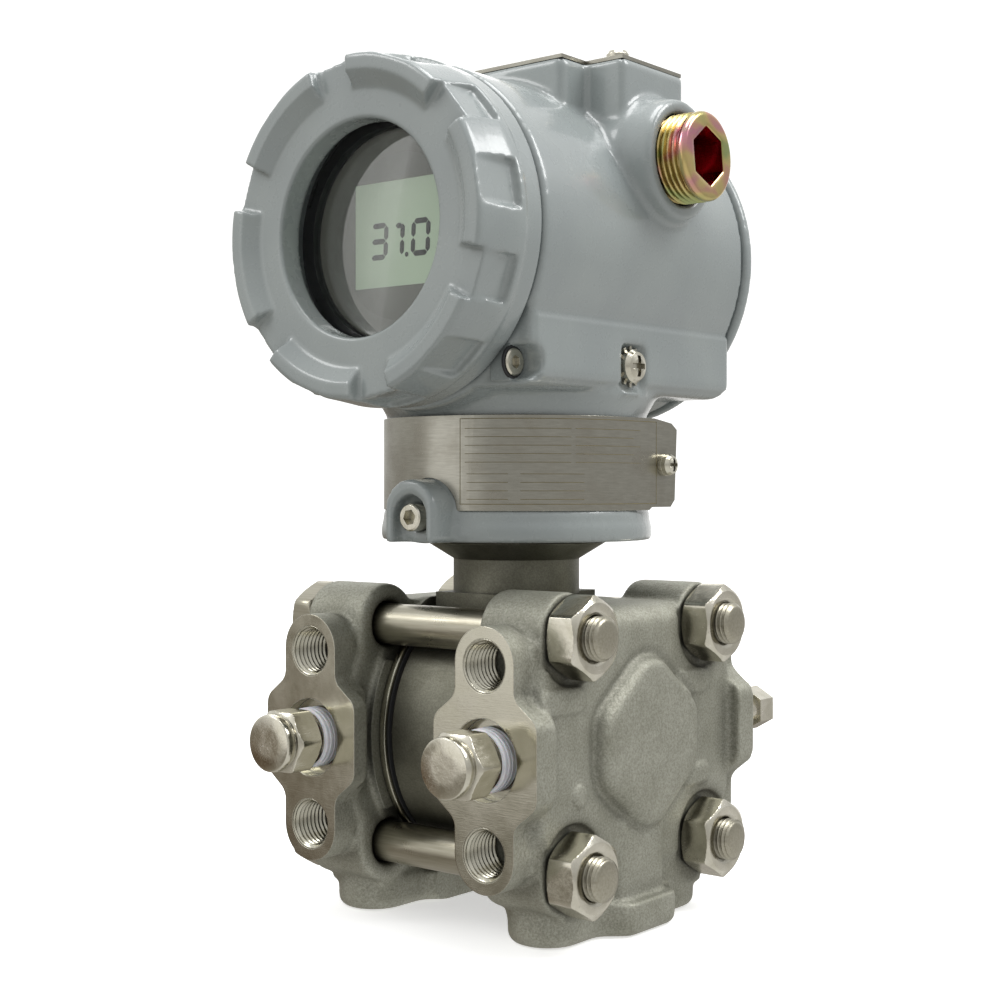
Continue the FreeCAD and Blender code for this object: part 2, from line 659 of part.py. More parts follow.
# ---------------------------------------------------------------- plugs, tape and vents
def process_plug(label, x):
    b = body(label, (x, D.plug_front, 0), ALONG_Y)
    turned(b, "plug_shank", [
        (0, 0), (D.plug_disc_r - 0.5, 0), (D.plug_disc_r, 0.5), (D.plug_disc_r, 2.3), (6.2, 2.6), (6.2, 3.3),
        (6.0, 3.3), (6.0, 10.5), (D.plug_thread_r, 10.5), (D.plug_thread_r, 23.5), (5.8, 24.5), (0, 24.5)])
    r = D.plug_flats / math.sqrt(3)
    pts = []
    for k in range(6):
        a = math.radians(60 * k + 12)
        pts.append((r * math.cos(a), r * math.sin(a)))
    padded(b, "plug_hexagon", pts, 3.3, 7.2)
    return b


process_plug_right = node(process_plug("process_plug_right", D.port_half))
process_plug_left = node(process_plug("process_plug_left", -D.port_half))


def thread_tape(label, x):
    return cut(label, cyl(label + "_wrap", D.tape_r, 4.5, (x, -1.5, 0), "Y"),
               cyl(label + "_bore", D.plug_thread_r, 6.5, (x, -2.5, 0), "Y"))


thread_tape_right = node(thread_tape("thread_tape_right", D.port_half))
thread_tape_left = node(thread_tape("thread_tape_left", -D.port_half))


def vent_body(label, x):
    # local Z runs along +Y from the bottom of the rear port; the screw bore ends on a small cone seat
    b = body(label, (x, D.rear_y - 14, 0), ALONG_Y)
    turned(b, "vent_shank", [
        (0, 0), (5.6, 0), (D.plug_thread_r, 1), (D.plug_thread_r, 14.5), (6.9, 14.5), (6.9, 23.0), (5.2, 24.0),
        (5.2, 26.5), (0, 26.5)])
    r = 8.2
    padded(b, "vent_hexagon", [(r * math.cos(math.radians(60 * k)), r * math.sin(math.radians(60 * k)))
                               for k in range(6)], 15.2, 7.6)
    pocketed(b, "vent_screw_bore", 3.0, 30, hole=((0, 0), 2.9))
    return b


vent_body_right = node(vent_body("vent_body_right", D.port_half))
vent_body_left = node(vent_body("vent_body_left", -D.port_half))


def bleed_screw(label, x):
    b = body(label, (x, D.rear_y, 0), ALONG_Y)
    turned(b, "bleed_stem", [
        (0, -9.8), (0.6, -9.8), (2.6, -7.6), (2.6, 14.0), (4.4, 14.0), (4.4, 26.3), (3.8, 26.9), (0, 26.9)])
    r = 10.0 / math.sqrt(3)
    padded(b, "bleed_hexagon", [(r * math.cos(math.radians(60 * k + 30)), r * math.sin(math.radians(60 * k + 30)))
                                for k in range(6)], 19.5, 6.6)
    return b


bleed_screw_right = node(bleed_screw("bleed_screw_right", D.port_half))
bleed_screw_left = node(bleed_screw("bleed_screw_left", -D.port_half))

# ---------------------------------------------------------------- capsule, gaskets, diaphragms
for side, sign in (("right", 1), ("left", -1)):
    start = D.capsule_x if sign > 0 else -D.seat_x
    node(cut("process_gasket_" + side,
             cyl("gasket_disc_" + side, D.gasket_out, D.seat_x - D.capsule_x, (start, D.neck_y, 0), "X"),
             cyl("gasket_hole_" + side, D.gasket_in, 4, (start - 1.5, D.neck_y, 0), "X")))
    start = D.capsule_x - 0.2 if sign > 0 else -D.capsule_x
    node(cyl("diaphragm_" + side, 22.0, 0.2, (start, D.neck_y, 0), "X"))

capsule = chamfer("capsule_disc", cyl("capsule_round", D.capsule_r, D.capsule_x * 2, (-D.capsule_x, D.neck_y, 0), "X"),
                  0.4, lambda e, m: near(abs(m.x), D.capsule_x) and not straight(e, "x"))
sensor_solid = fuse(
    "sensor_raw", capsule,
    box("neck_block", -12.6, 12.6, D.neck_y - 16, D.neck_y + 16, 20, D.neck_low + 0.5),
    cyl("neck_round", D.neck_r, D.neck_high - D.neck_low, (0, D.neck_y, D.neck_low)),
    cone("neck_cone", D.neck_r, D.cone_r, D.cone_z - D.neck_high, (0, D.neck_y, D.neck_high)),
    cyl("neck_spigot", D.spigot_r, D.spigot_z - D.cone_z, (0, D.neck_y, D.cone_z)))
sensor_body = node(cut(
    "sensor_body", sensor_solid,
    cyl("diaphragm_pocket_a", 22.0, 0.7, (D.capsule_x - 0.7, D.neck_y, 0), "X"),
    cyl("diaphragm_pocket_b", 22.0, 0.7, (-D.capsule_x, D.neck_y, 0), "X"),
    cyl("cell_bore", 11.0, 14.0, (-7, D.neck_y, 0), "X"),
    cyl("fill_duct", 1.0, 40, (-20, D.neck_y, 6.5), "X"),
    cyl("wire_bore", D.wire_bore_r, D.spigot_z + 2, (0, D.neck_y, 0)),
    cut("oring_groove", cyl("oring_groove_out", D.spigot_r + 1, 2.6, (0, D.neck_y, 56.0)),
        cyl("oring_groove_in", D.spigot_r - 2.2, 4.6, (0, D.neck_y, 55.0)))))
sensor_cell = node(fuse(
    "sensor_cell", cyl("cell_left_half", 10.6, 6.4, (-6.6, D.neck_y, 0), "X"),
    cyl("cell_right_half", 10.6, 6.4, (0.2, D.neck_y, 0), "X"), cyl("cell_middle", 10.0, 0.4, (-0.2, D.neck_y, 0), "X")))
header = node(fuse(
    "header", cyl("header_disc", D.wire_bore_r, 4.0, (0, D.neck_y, 57.0)),
    *[cyl("header_pin", 0.4, 10, (4.6 * math.cos(math.radians(a)), D.neck_y + 4.6 * math.sin(math.radians(a)), 54.5))
      for a in range(0, 360, 60)]))
neck_oring = node(ring("neck_oring", D.spigot_r - 1.15, 1.0, (0, D.neck_y, 57.3)))

# ---------------------------------------------------------------- housing casting
ax = D.axis_z
barrel = chamfer("barrel_round", cyl("barrel_cylinder", D.barrel_r, D.barrel_rear - D.barrel_front, (0, D.barrel_front, ax), "Y"),
                 0.35, lambda e, m: not straight(e, "y"))
cheeks = fillet("cheeks_low", box("cheeks_box", -D.cheek_x, D.cheek_x, D.barrel_front + 0.9, D.barrel_rear, D.cheek_low, D.cheek_top),
                3.6, lambda e, m: near(m.z, D.cheek_low) and not (straight(e, "x") and near(m.y, D.barrel_front + 0.9)))
cheeks_rear = fillet("cheeks_rear", box("cheeks_rear_box", -D.cheek_x, D.cheek_x, 39.5, D.barrel_rear, D.cheek_low + 8, D.cheek_top_rear),
                     1.2, lambda e, m: straight(e, "z"))
roof = fillet("roof_long", box("roof_long_box", -D.roof_x, D.roof_x, D.roof_front, D.neck_y * 2 - D.roof_front + 18, 140, D.roof_z),
              2.2, lambda e, m: straight(e, "z"))
roof = fillet("roof_long_soft", roof, 0.8, lambda e, m: near(m.z, D.roof_z))
wing = fillet("roof_wide", box("roof_wide_box", -D.wing_x, D.wing_x, D.wing_front, D.wing_rear, 128, D.roof_z),
              1.8, lambda e, m: straight(e, "z"))
wing = fillet("roof_wide_soft", wing, 0.8, lambda e, m: near(m.z, D.roof_z))
cast = [
    barrel, cheeks, cheeks_rear, roof, wing,
    cyl("throat", D.throat_r, 90 - D.collar_top, (0, D.neck_y, D.collar_top)),
    cone("throat_flare", D.throat_r, D.throat_r + 2.9, 5.0, (0, D.neck_y, 77)),
    fillet("collar_lower", cyl("collar_lower_disc", D.collar_r, D.collar_mid - D.collar_low, (0, D.neck_y, D.collar_low)), 0.4,
           lambda e, m: not straight(e, "z")),
    fillet("collar_upper", cyl("collar_upper_disc", D.collar_upper_r, D.collar_top - D.collar_mid + 1, (0, D.neck_y, D.collar_mid - 1)),
           0.4, lambda e, m: near(m.z, D.collar_top)),
    box("arch_block", -D.arch_half, D.arch_half, D.arch_front, 22, D.collar_low, D.collar_top + 0.05),
    cyl("arch_round", D.arch_half, 22 - D.arch_front, (0, D.arch_front, D.collar_top + 0.05), "Y"),
    box("strap_boss", 24, D.throat_r, 52, 66, 59, 71),
]
for sign, tag in ((1, "right"), (-1, "left")):
    root = D.wing_x - 1 if sign > 0 else -D.wing_x + 1
    turn = ALONG_X if sign > 0 else Rotation(Vector(0, 1, 0), -90)
    boss = add("Part::Cone", "conduit_boss_cone_" + tag)
    bind(boss, "Radius1", D.conduit_root_r)
    bind(boss, "Radius2", D.conduit_end_r)
    bind(boss, "Height", D.conduit_x - D.wing_x + 1)
    place(boss, (root, D.conduit_y, D.conduit_z), turn)
    cast.append(fillet("conduit_boss_" + tag, boss, 0.8, lambda e, m: near(abs(m.x), D.conduit_x)))
    inner = cyl("conduit_root_" + tag, D.conduit_root_r, 14, (sign * 28 if sign > 0 else -42, D.conduit_y, D.conduit_z), "X")
    cast.append(common("conduit_root_clip_" + tag, inner,
                       box("conduit_root_box_" + tag, -D.wing_x, D.wing_x, 30, 80, 110, D.roof_z)))
housing_solid = fuse("housing_cast", *cast)


def lock_notch(label, sign):
    """The slanted corner in front of a cover lock screw."""
    sk = add("Sketcher::SketchObject", label + "_sketch")
    outline(sk, [(D.lock_x + 0.4, D.barrel_front - 2), (D.cheek_x + 2, D.barrel_front - 2), (D.cheek_x + 2, 7.2),
                 (D.lock_x + 0.4, D.barrel_front + 0.1)])
    ex = add("Part::Extrusion", label)
    ex.Base = sk
    ex.DirMode = "Custom"
    ex.Dir = Vector(0, 0, 1)
    ex.LengthFwd = 20
    ex.Solid = True
    return place(ex, (0, 0, 80))


holes = [
    cyl("front_screw_bore", D.screw_bore_r, 12.0, (0, D.barrel_front - 1, ax), "Y"),
    cyl("front_chamber", D.cavity_r, D.front_floor - D.barrel_front + 1, (0, D.barrel_front - 1, ax), "Y"),
    cyl("rear_screw_bore", D.screw_bore_r, 12.0, (0, D.barrel_rear - 11, ax), "Y"),
    cyl("rear_chamber", D.cavity_r, D.barrel_rear - D.rear_floor + 1, (0, D.rear_floor, ax), "Y"),
    cyl("wall_duct", 4.0, D.rear_floor - D.front_floor + 4, (-18, D.front_floor - 2, ax + 8), "Y"),
    cyl("throat_bore", D.spigot_r + D.turn_gap, D.spigot_z + 1.5 - D.collar_low + 1, (0, D.neck_y, D.collar_low - 1)),
    cyl("throat_duct", 7.0, 24, (0, 36.0, D.spigot_z)),
    cyl("conduit_bore_right", D.conduit_bore_r, D.conduit_deep + 2, (D.conduit_x - D.conduit_deep, D.conduit_y, D.conduit_z), "X"),
    cyl("conduit_bore_left", D.conduit_bore_r, D.conduit_deep + 2, (-D.conduit_x - 2, D.conduit_y, D.conduit_z), "X"),
    cyl("conduit_throat_right", D.conduit_throat_r, 12, (D.conduit_x - 22, D.conduit_y, D.conduit_z), "X"),
    cyl("conduit_throat_left", D.conduit_throat_r, 12, (-D.conduit_x + 10, D.conduit_y, D.conduit_z), "X"),
    cone("conduit_mouth_right", D.conduit_bore_r, D.conduit_bore_r + 0.9, 0.9, (D.conduit_x - 0.8, D.conduit_y, D.conduit_z), "X"),
    cone("conduit_mouth_left", D.conduit_bore_r + 0.9, D.conduit_bore_r, 0.9, (-D.conduit_x - 0.1, D.conduit_y, D.conduit_z), "X"),
    # arched recess of the set screw
    box("arch_recess_low", -D.arch_recess, D.arch_recess, D.arch_front - 1, D.arch_front + D.arch_deep,
        D.collar_low - 1, D.arch_recess_z),
    cyl("arch_recess_top", D.arch_recess, D.arch_deep + 1, (0, D.arch_front - 1, D.arch_recess_z), "Y"),
    cyl("set_screw_head_hole", 3.2, 6, (0, D.arch_front + D.arch_deep - 1, 52.7), "Y"),
    cyl("set_screw_hole", 2.5, 24, (0, D.arch_front, 52.7), "Y"),
    # strap screw, lock screws, ground screw, tag screws
    cyl("strap_screw_hole", 1.6, 12, (D.throat_r - 9, 61.2, 65.15), "X"),
    lock_notch("front_lock_notch", 1),
    cyl("front_lock_seat", 3.8, 8, (D.lock_x + 0.4, D.lock_front_y, D.lock_z), "X"),
    cyl("front_lock_head_hole", 3.15, 8, (D.lock_x, D.lock_front_y, D.lock_z), "X"),
    cyl("front_lock_hole", 1.2, 12, (24.2, D.lock_front_y, D.lock_z), "X"),
    cyl("rear_lock_seat", 3.8, 8, (-D.lock_x - 8.4, D.lock_rear_y, D.lock_z), "X"),
    cyl("rear_lock_head_hole", 3.15, 8, (-D.lock_x - 8, D.lock_rear_y, D.lock_z), "X"),
    cyl("rear_lock_hole", 1.2, 12, (-36.2, D.lock_rear_y, D.lock_z), "X"),
    fillet("ground_pocket", box("ground_pocket_box", D.cheek_x - 1.3, D.cheek_x + 3, 40.2, 50.2, 83.1, 93.3), 1.6,
           lambda e, m: straight(e, "x")),
    cyl("ground_hole", 2.5, 14, (D.cheek_x - 13, D.neck_y, 88.2), "X"),
    cyl("tag_pivot_hole", 1.5, 9, (31.0, 44.6, D.roof_z - 8)),
    cyl("tag_end_hole", 1.5, 9, (-31.0, 44.6, D.roof_z - 8)),
    # tapped holes on the chamber floors
    *[cyl("module_hole", 1.2, 6, (26 * math.cos(math.radians(a)), D.front_floor - 1, ax.value + 26 * math.sin(math.radians(a))), "Y")
      for a in (90, 210, 330)],
    *[cyl("terminal_hole", 1.5, 6, (x, D.rear_floor - 5, ax - 18), "Y") for x in (-14, 14)],
    cyl("inner_ground_hole", 1.8, 6, (24, D.rear_floor - 4, ax + 8), "Y"),
]
for x in (D.button_x, -D.button_x):
    holes.append(cyl("button_well", D.button_well_r, 12, (x, D.conduit_y, D.well_floor)))


def bored(label, base, tools, stages):
    """Cuts the tools in stages, each named tool starting a new stage."""
    batches, names = [[]], []
    for o in tools:
        if o.Label in stages:
            batches.append([])
        batches[-1].append(o)
    for k, batch in enumerate(batches):
        base = cut(label if k == len(batches) - 1 else label + "_stage_%d" % k, base, *batch)
    return base


housing_body = node(bored("housing_body", housing_solid, holes, (
    "throat_bore", "arch_recess_low", "strap_screw_hole", "front_lock_seat", "front_lock_head_hole", "front_lock_hole",
    "rear_lock_seat", "rear_lock_head_hole", "rear_lock_hole", "ground_pocket", "ground_hole", "tag_pivot_hole", "button_well")))

# ---------------------------------------------------------------- small fasteners of the housing
def socket_screw(label, at, rotation, head_r, head_high, socket, shank_r, shank_long):
    """Head first: local Z points out of the head, the shank runs down."""
    b = body(label, at, rotation)
    turned(b, "screw_form", [
        (0, -shank_long), (shank_r - 0.3, -shank_long), (shank_r, -shank_long + 0.3), (shank_r, 0), (head_r, 0),
        (head_r, head_high - 0.35), (head_r - 0.35, head_high), (0, head_high)])
    r = socket / math.sqrt(3)
    pocketed(b, "screw_socket", head_high - min(head_high * 0.7, 2.2), 6,
             [(r * math.cos(math.radians(60 * k + 10)), r * math.sin(math.radians(60 * k + 10))) for k in range(6)])
    return b


TOWARD_X = ALONG_X
TOWARD_MINUS_X = Rotation(Vector(0, 1, 0), -90)
TOWARD_MINUS_Y = Rotation(Vector(1, 0, 0), 90)
TOWARD_Y = ALONG_Y

housing_set_screw = node(socket_screw("housing_set_screw", (0, 10.08 + 3.0, 52.7), TOWARD_MINUS_Y, 3.2, 7.6, 3.3, 2.5, 9.2))
front_cover_lock_screw = node(socket_screw(
    "front_cover_lock_screw", (D.lock_x, D.lock_front_y, D.lock_z), TOWARD_X, 3.1, 1.5, 2.6, 1.2, 4.5))
rear_cover_lock_screw = node(socket_screw(
    "rear_cover_lock_screw", (-D.lock_x, D.lock_rear_y, D.lock_z), TOWARD_MINUS_X, 3.1, 1.5, 2.6, 1.2, 4.5))
lock_screw_rings = node(group("lock_screw_rings", *[
    cut("lock_ring", cyl("lock_ring_out", 3.72, 0.5, (x, y, D.lock_z), "X"),
        cyl("lock_ring_in", 3.15, 3, (x - 1, y, D.lock_z), "X"))
    for x, y in ((D.lock_x + 0.4, D.lock_front_y), (-D.lock_x - 0.9, D.lock_rear_y))]))




def slotted_screw(label, at, rotation, head_r, head_high, shank_r, shank_long, cross=True):
    b = body(label, at, rotation)
    turned(b, "screw_form", [
        (0, -shank_long), (shank_r - 0.2, -shank_long), (shank_r, -shank_long + 0.2), (shank_r, 0), (head_r, 0),
        (head_r, head_high * 0.45), (head_r * 0.82, head_high * 0.82), (head_r * 0.45, head_high), (0, head_high)])
    w = head_r * 0.16
    long = head_r * 0.62
    pocketed(b, "screw_slot", head_high * 0.45, 6, [(-long, -w), (long, -w), (long, w), (-long, w)])
    if cross:
        pocketed(b, "screw_slot_across", head_high * 0.45, 6, [(-w, -long), (w, -long), (w, long), (-w, long)])
    return b


band_lock_washer = node(cut("band_lock_washer", cyl("band_washer_disc", 2.7, 1.2, (D.band_out, 61.2, 65.15), "X"),
                            cyl("band_washer_hole", 1.6, 3, (D.band_out - 1, 61.2, 65.15), "X")))
label_band_screw = node(slotted_screw("label_band_screw", (D.band_out + 1.2, 61.2, 65.15), TOWARD_X, 2.55, 2.2, 1.6, 9.0))
b = body("ground_washer", (D.cheek_x - 1.3, D.neck_y, 88.2), ALONG_X)
turned(b, "washer_form", [(2.5, 0), (3.9, 0), (3.9, 0.8), (2.5, 0.8)])
tooth = padded(b, "washer_tooth", [(3.4, -0.55), (4.9, -0.35), (4.9, 0.35), (3.4, 0.55)], 0, 0.8)
around(b, "washer_teeth", tooth, 12)
ground_washer = node(b)
ground_screw = node(slotted_screw("ground_screw", (D.cheek_x - 0.5, D.neck_y, 88.2), TOWARD_X, 4.0, 2.6, 2.5, 11.0))

# conduit plug: threaded shank with a hexagon socket
b = body("conduit_plug", (D.conduit_x + 7.2, D.conduit_y, D.conduit_z), ALONG_X)
turned(b, "plug_form", [
    (0, -18.6), (D.conduit_bore_r - 1.2, -18.6), (D.conduit_bore_r - 0.1, -17.6), (D.conduit_bore_r - 0.1, -1.2),
    (9.6, 0), (0, 0)])
pocketed(b, "plug_socket", -8.5, 12, [(7.0 * math.cos(math.radians(60 * k + 8)), 7.0 * math.sin(math.radians(60 * k + 8))) for k in range(6)])
conduit_plug = node(b)

# label band: a strap around the neck with a straight ear behind
band = cut("band_ring", cyl("band_ring_out", D.band_out, D.band_high - D.band_low, (0, D.neck_y, D.band_low)),
           cyl("band_ring_in", D.band_in, D.band_high - D.band_low + 4, (0, D.neck_y, D.band_low - 2)))
gap_sketch = add("Sketcher::SketchObject", "band_gap_sketch")
outline(gap_sketch, [(0.5, D.neck_y + 0.02), (60, D.neck_y + 0.02), (60, D.neck_y + 60), (26, D.neck_y + 60)])
gap_cut = add("Part::Extrusion", "band_gap")
gap_cut.Base = gap_sketch
gap_cut.DirMode = "Custom"
gap_cut.Dir = Vector(0, 0, 1)
gap_cut.LengthFwd = 120
gap_cut.Solid = True
ear_sketch = add("Sketcher::SketchObject", "band_ear_sketch")
outline(ear_sketch, [
    (D.neck_y, D.band_low), (55.4, D.band_low), (56.6, 54.9), (64.7, 54.9), (66.5, 56.6), (67.4, 73.9), (65.1, 75.4),
    (57.7, D.band_high), (D.neck_y, D.band_high)])
ear_sketch.Placement = Placement(Vector(D.band_in.value, 0, 0), Rotation(Vector(1, 1, 1), 120))
ear_sketch.setExpression("Placement.Base.x", D.band_in.text)
ear = add("Part::Extrusion", "band_ear")
ear.Base = ear_sketch
ear.DirMode = "Custom"
ear.Dir = Vector(1, 0, 0)
bind(ear, "LengthFwd", D.band_out - D.band_in)
ear.Solid = True
label_band = node(cut(
    "label_band", fuse("band_strap", cut("band_open", band, gap_cut), ear),
    box("band_arch_cut", -D.arch_half - 0.3, D.arch_half + 0.3, 0, 25, D.band_low - 3, D.collar_top),
    cyl("band_arch_round", D.arch_half + 0.3, 25, (0, 0, D.collar_top), "Y"),
    cyl("band_screw_hole", 1.6, 6, (D.band_in - 2, 61.2, 65.15), "X")))

# ---------------------------------------------------------------- top of the housing
tag_sketch_points = [
    (-D.wing_x + 0.6, D.wing_front + 0.7), (-D.wing_x + 0.6, D.wing_rear - 0.7), (-D.roof_x + 0.5, D.wing_rear - 0.7),
    (-D.roof_x + 0.5, D.neck_y * 2 - D.roof_front + 17), (D.roof_x - 0.5, D.neck_y * 2 - D.roof_front + 17),
    (D.roof_x - 0.5, D.wing_rear - 0.7), (D.wing_x - 0.6, D.wing_rear - 0.7), (D.wing_x - 0.6, D.wing_front + 0.7),
    (D.roof_x - 0.5, D.wing_front + 0.7), (D.roof_x - 0.5, D.roof_front + 0.6), (-D.roof_x + 0.5, D.roof_front + 0.6),
    (-D.roof_x + 0.5, D.wing_front + 0.7)]
b = body("tag_plate", (0, 0, D.roof_z))
padded(b, "tag_sheet", tag_sketch_points, 0, D.plate_thick)
pocketed(b, "tag_pivot_hole_cut", -1, 4, hole=((31.0, 44.6), 1.8))
pocketed(b, "tag_slot", -1, 4, [(-31.0 - 1.8, 38.0), (-31.0 + 1.8, 38.0), (-31.0 + 1.8, 46.6), (-31.0 - 1.8, 46.6)])
tag_plate = node(b)
tag_pivot_screw = node(slotted_screw("tag_pivot_screw", (31.0, 44.6, D.roof_z + D.plate_thick + 0.05), ALONG_Z, 2.7, 2.0, 1.5, 7.0))
tag_end_screw = node(slotted_screw("tag_end_screw", (-31.0, 44.6, D.roof_z + D.plate_thick + 0.05), ALONG_Z, 2.7, 2.0, 1.5, 7.0))


def push_button(label, x):
    b = body(label, (x, D.conduit_y, D.button_top), ALONG_Z)
    turned(b, "button_form", [(0, -6.1), (1.4, -6.1), (1.4, -3.6), (D.button_r, -3.6), (D.button_r, -0.3), (D.button_r - 0.3, 0), (0, 0)])
    return b


zero_button = node(push_button("zero_button", D.button_x))
span_button = node(push_button("span_button", -D.button_x))
for label, x in (("zero_spring", D.button_x), ("span_spring", -D.button_x)):
    node(cut(label, cyl(label + "_out", 2.6, D.button_top - 3.6 - D.well_floor, (x, D.conduit_y, D.well_floor)),
             cyl(label + "_in", 1.8, 12, (x, D.conduit_y, D.well_floor - 2))))

# ---------------------------------------------------------------- display cover
lug_turn = 20.0
b = body("display_cover", (0, 0, ax), ALONG_Y * Rotation(Vector(0, 0, 1), lug_turn))
turned(b, "cover_form", [
    (D.window_r, D.cover_face + 0.5), (D.window_r + 0.5, D.cover_face), (31.0, D.cover_face), (34.5, D.cover_crest),
    (D.cover_nose_r, D.cover_crest), (38.35, D.cover_crest + 0.75), (38.9, -9.5), (D.cover_r, -3.6), (D.cover_r, -1.0), (D.cover_rim_r, -0.6),
    (D.cover_rim_r, D.cover_rear - 0.4), (D.cover_rim_r - 0.4, D.cover_rear), (D.cover_spigot_r, D.cover_rear),
    (34.4, D.cover_rear + 0.4), (34.4, 7.9), (D.cover_spigot_r, 8.2), (D.cover_spigot_r, 14.6), (D.cover_spigot_r - 0.6, 15.2),
    (D.cover_inner_r, 15.2), (D.cover_inner_r, 3.4), (28.0, 3.4), (28.0, -5.9), (D.window_r, -5.9)])
half = math.tan(math.radians(8.5))
gap = pocketed(b, "cover_gap", D.cover_face - 8.0, 8.0,
               [(24.0, -24.0 * half), (46.0, -46.0 * half), (46.0, 46.0 * half), (24.0, 24.0 * half)])
around(b, "cover_gaps", gap, 6)
half = math.tan(math.radians(7.8))
scoop = pocketed(b, "cover_scoop", D.cover_face - 8.0, 8.0 - D.cover_face - 2.6,
                 [(37.9, -37.9 * half), (46.0, -46.0 * half), (46.0, 46.0 * half), (37.9, 37.9 * half)])
around(b, "cover_scoops", scoop, 12)
display_cover = node(b)
window_glass = node(chamfer("window_glass", cyl("window_glass_disc", D.glass_r, 4.0, (0, -5.6, ax), "Y"), 0.4,
                            lambda e, m: not straight(e, "y")))
window_gasket = node(cut("window_gasket", cyl("window_gasket_disc", 27.8, 1.6, (0, -1.6, ax), "Y"),
                         cyl("window_gasket_hole", D.window_r, 4, (0, -3, ax), "Y")))
window_retainer = node(cut("window_retainer", cyl("window_retainer_disc", 27.95, 3.0, (0, 0, ax), "Y"),
                           cyl("window_retainer_hole", 24.7, 6, (0, -1, ax), "Y")))
display_cover_seal = node(ring("display_cover_seal", 35.6, 0.82, (0, 6.7, ax), "Y"))

# ---------------------------------------------------------------- display and electronics
b = body("lcd_bezel", (0, 0, ax), ALONG_Y)
turned(b, "bezel_form", [
    (0, D.lcd_y), (D.dial_r, D.lcd_y), (D.bezel_r - 0.4, 0.45), (D.bezel_r, 0.6), (D.bezel_r, 17.0), (30.5, 17.0), (30.5, 18.6),
    (D.bezel_r - 1.5, 18.6), (D.bezel_r - 1.5, 5.2), (0, 5.2)])
low, high = ax - D.lcd_high, ax - D.lcd_low
pocketed(b, "bezel_window", -2, 9, [(-D.lcd_half_x, low), (D.lcd_half_x, low), (D.lcd_half_x, high), (-D.lcd_half_x, high)])
for k, a in enumerate((90, 210, 330)):
    pocketed(b, "bezel_screw_hole", 12, 9, hole=((27.6 * math.cos(math.radians(a)), 27.6 * math.sin(math.radians(a))), 1.3))
lcd_bezel = node(b)
lcd_panel = node(box("lcd_panel", -D.lcd_half_x, D.lcd_half_x, D.lcd_y + 0.25, D.lcd_y + 4.2, D.lcd_low, D.lcd_high))
board_points = [(22.4 * math.cos(math.radians(15 * k)), 22.4 * math.sin(math.radians(15 * k))) for k in range(24)]
b = body("display_board", (0, 0, ax), ALONG_Y)
padded(b, "board_plate", board_points, 6.7, 1.6)
padded(b, "board_connector", [(-6, 8), (6, 8), (6, 14), (-6, 14)], 8.3, 6.0)
padded(b, "board_chip", [(-6, -7), (6, -7), (6, 5), (-6, 5)], 8.3, 1.8)
display_board = node(b)
b = body("electronics_module", (0, 0, ax), ALONG_Y)
turned(b, "module_form", [(0, 18.6), (30.9, 18.6), (31.6, 19.4), (31.6, D.front_floor - 0.01), (0, D.front_floor - 0.01)])
pocketed(b, "module_well", 10.0, 15.4, hole=((0, 0), 20.0))
for k, a in enumerate((90, 210, 330)):
    pocketed(b, "module_hole_cut", 10.0, 15, hole=((27.6 * math.cos(math.radians(a)), 27.6 * math.sin(math.radians(a))), 1.3))
for k, a in enumerate((-90, -210, -330)):
    pocketed(b, "module_screw_hole", 10.0, 40, hole=((26 * math.cos(math.radians(a)), 26 * math.sin(math.radians(a))), 1.2))
    pocketed(b, "module_screw_head_hole", 10.0, 12.6, hole=((26 * math.cos(math.radians(a)), 26 * math.sin(math.radians(a))), 2.6))
pocketed(b, "module_ribbon_notch", 30.0, 20, [(-5, 20), (5, 20), (5, 34), (-5, 34)])
electronics_module = node(b)


def plain_screw(label, at, axis, head_r, head_high, shank_r, shank_long):
    """A pan-head screw whose head lies on at and whose shank runs along the axis."""
    x, y, z = at
    if axis == "Y":
        return fuse(label, cyl(label + "_head", head_r, head_high, (x, size(y) - head_high, z), "Y"),
                    cyl(label + "_shank", shank_r, shank_long, (x, y, z), "Y"))
    raise ValueError(axis)


display_screws = node(group("display_screws", *[
    plain_screw("display_screw_%d" % k, (27.6 * math.cos(math.radians(a)), 17.0, ax.value - 27.6 * math.sin(math.radians(a))),
                "Y", 2.3, 1.6, 1.3, 7.5) for k, a in enumerate((90, 210, 330))]))
module_screws = node(group("module_screws", *[
    plain_screw("module_screw_%d" % k, (26 * math.cos(math.radians(a)), 22.6, ax.value + 26 * math.sin(math.radians(a))),
                "Y", 2.5, 1.8, 1.2, 23.5) for k, a in enumerate((90, 210, 330))]))
flex_ribbon = node(fuse("flex_ribbon", box("ribbon_rise", -4, 4, 36.6, 36.9, D.spigot_z + 1.0, ax.value - 22.0),
                        box("ribbon_top", -4, 4, 30.5, 36.9, ax.value - 22.3, ax.value - 22.0)))

# ---------------------------------------------------------------- rear cover and terminals
b = body("rear_cover", (0, 0, ax), ALONG_Y)
turned(b, "cover_form", [
    (0, 85.4), (D.cover_inner_r, 85.4), (D.cover_inner_r, 77.7), (D.cover_spigot_r - 0.6, 77.7), (D.cover_spigot_r, 78.3),
    (D.cover_spigot_r, D.rear_cover_front - 3.1), (34.4, D.rear_cover_front - 2.8), (34.4, D.rear_cover_front - 0.4),
    (D.cover_spigot_r, D.rear_cover_front), (D.rear_cover_r - 0.4, D.rear_cover_front), (D.rear_cover_r, D.rear_cover_front + 0.4),
    (D.rear_cover_r, D.rear_cover_end - 1.2), (D.rear_cover_r - 1.2, D.rear_cover_end), (0, D.rear_cover_end)])
half = math.tan(math.radians(13.0))
padded(b, "rear_lug_plate", [(34.0 * math.cos(math.radians(20 * k)), 34.0 * math.sin(math.radians(20 * k))) for k in range(18)],
       D.rear_cover_end - 0.5, 4.5)
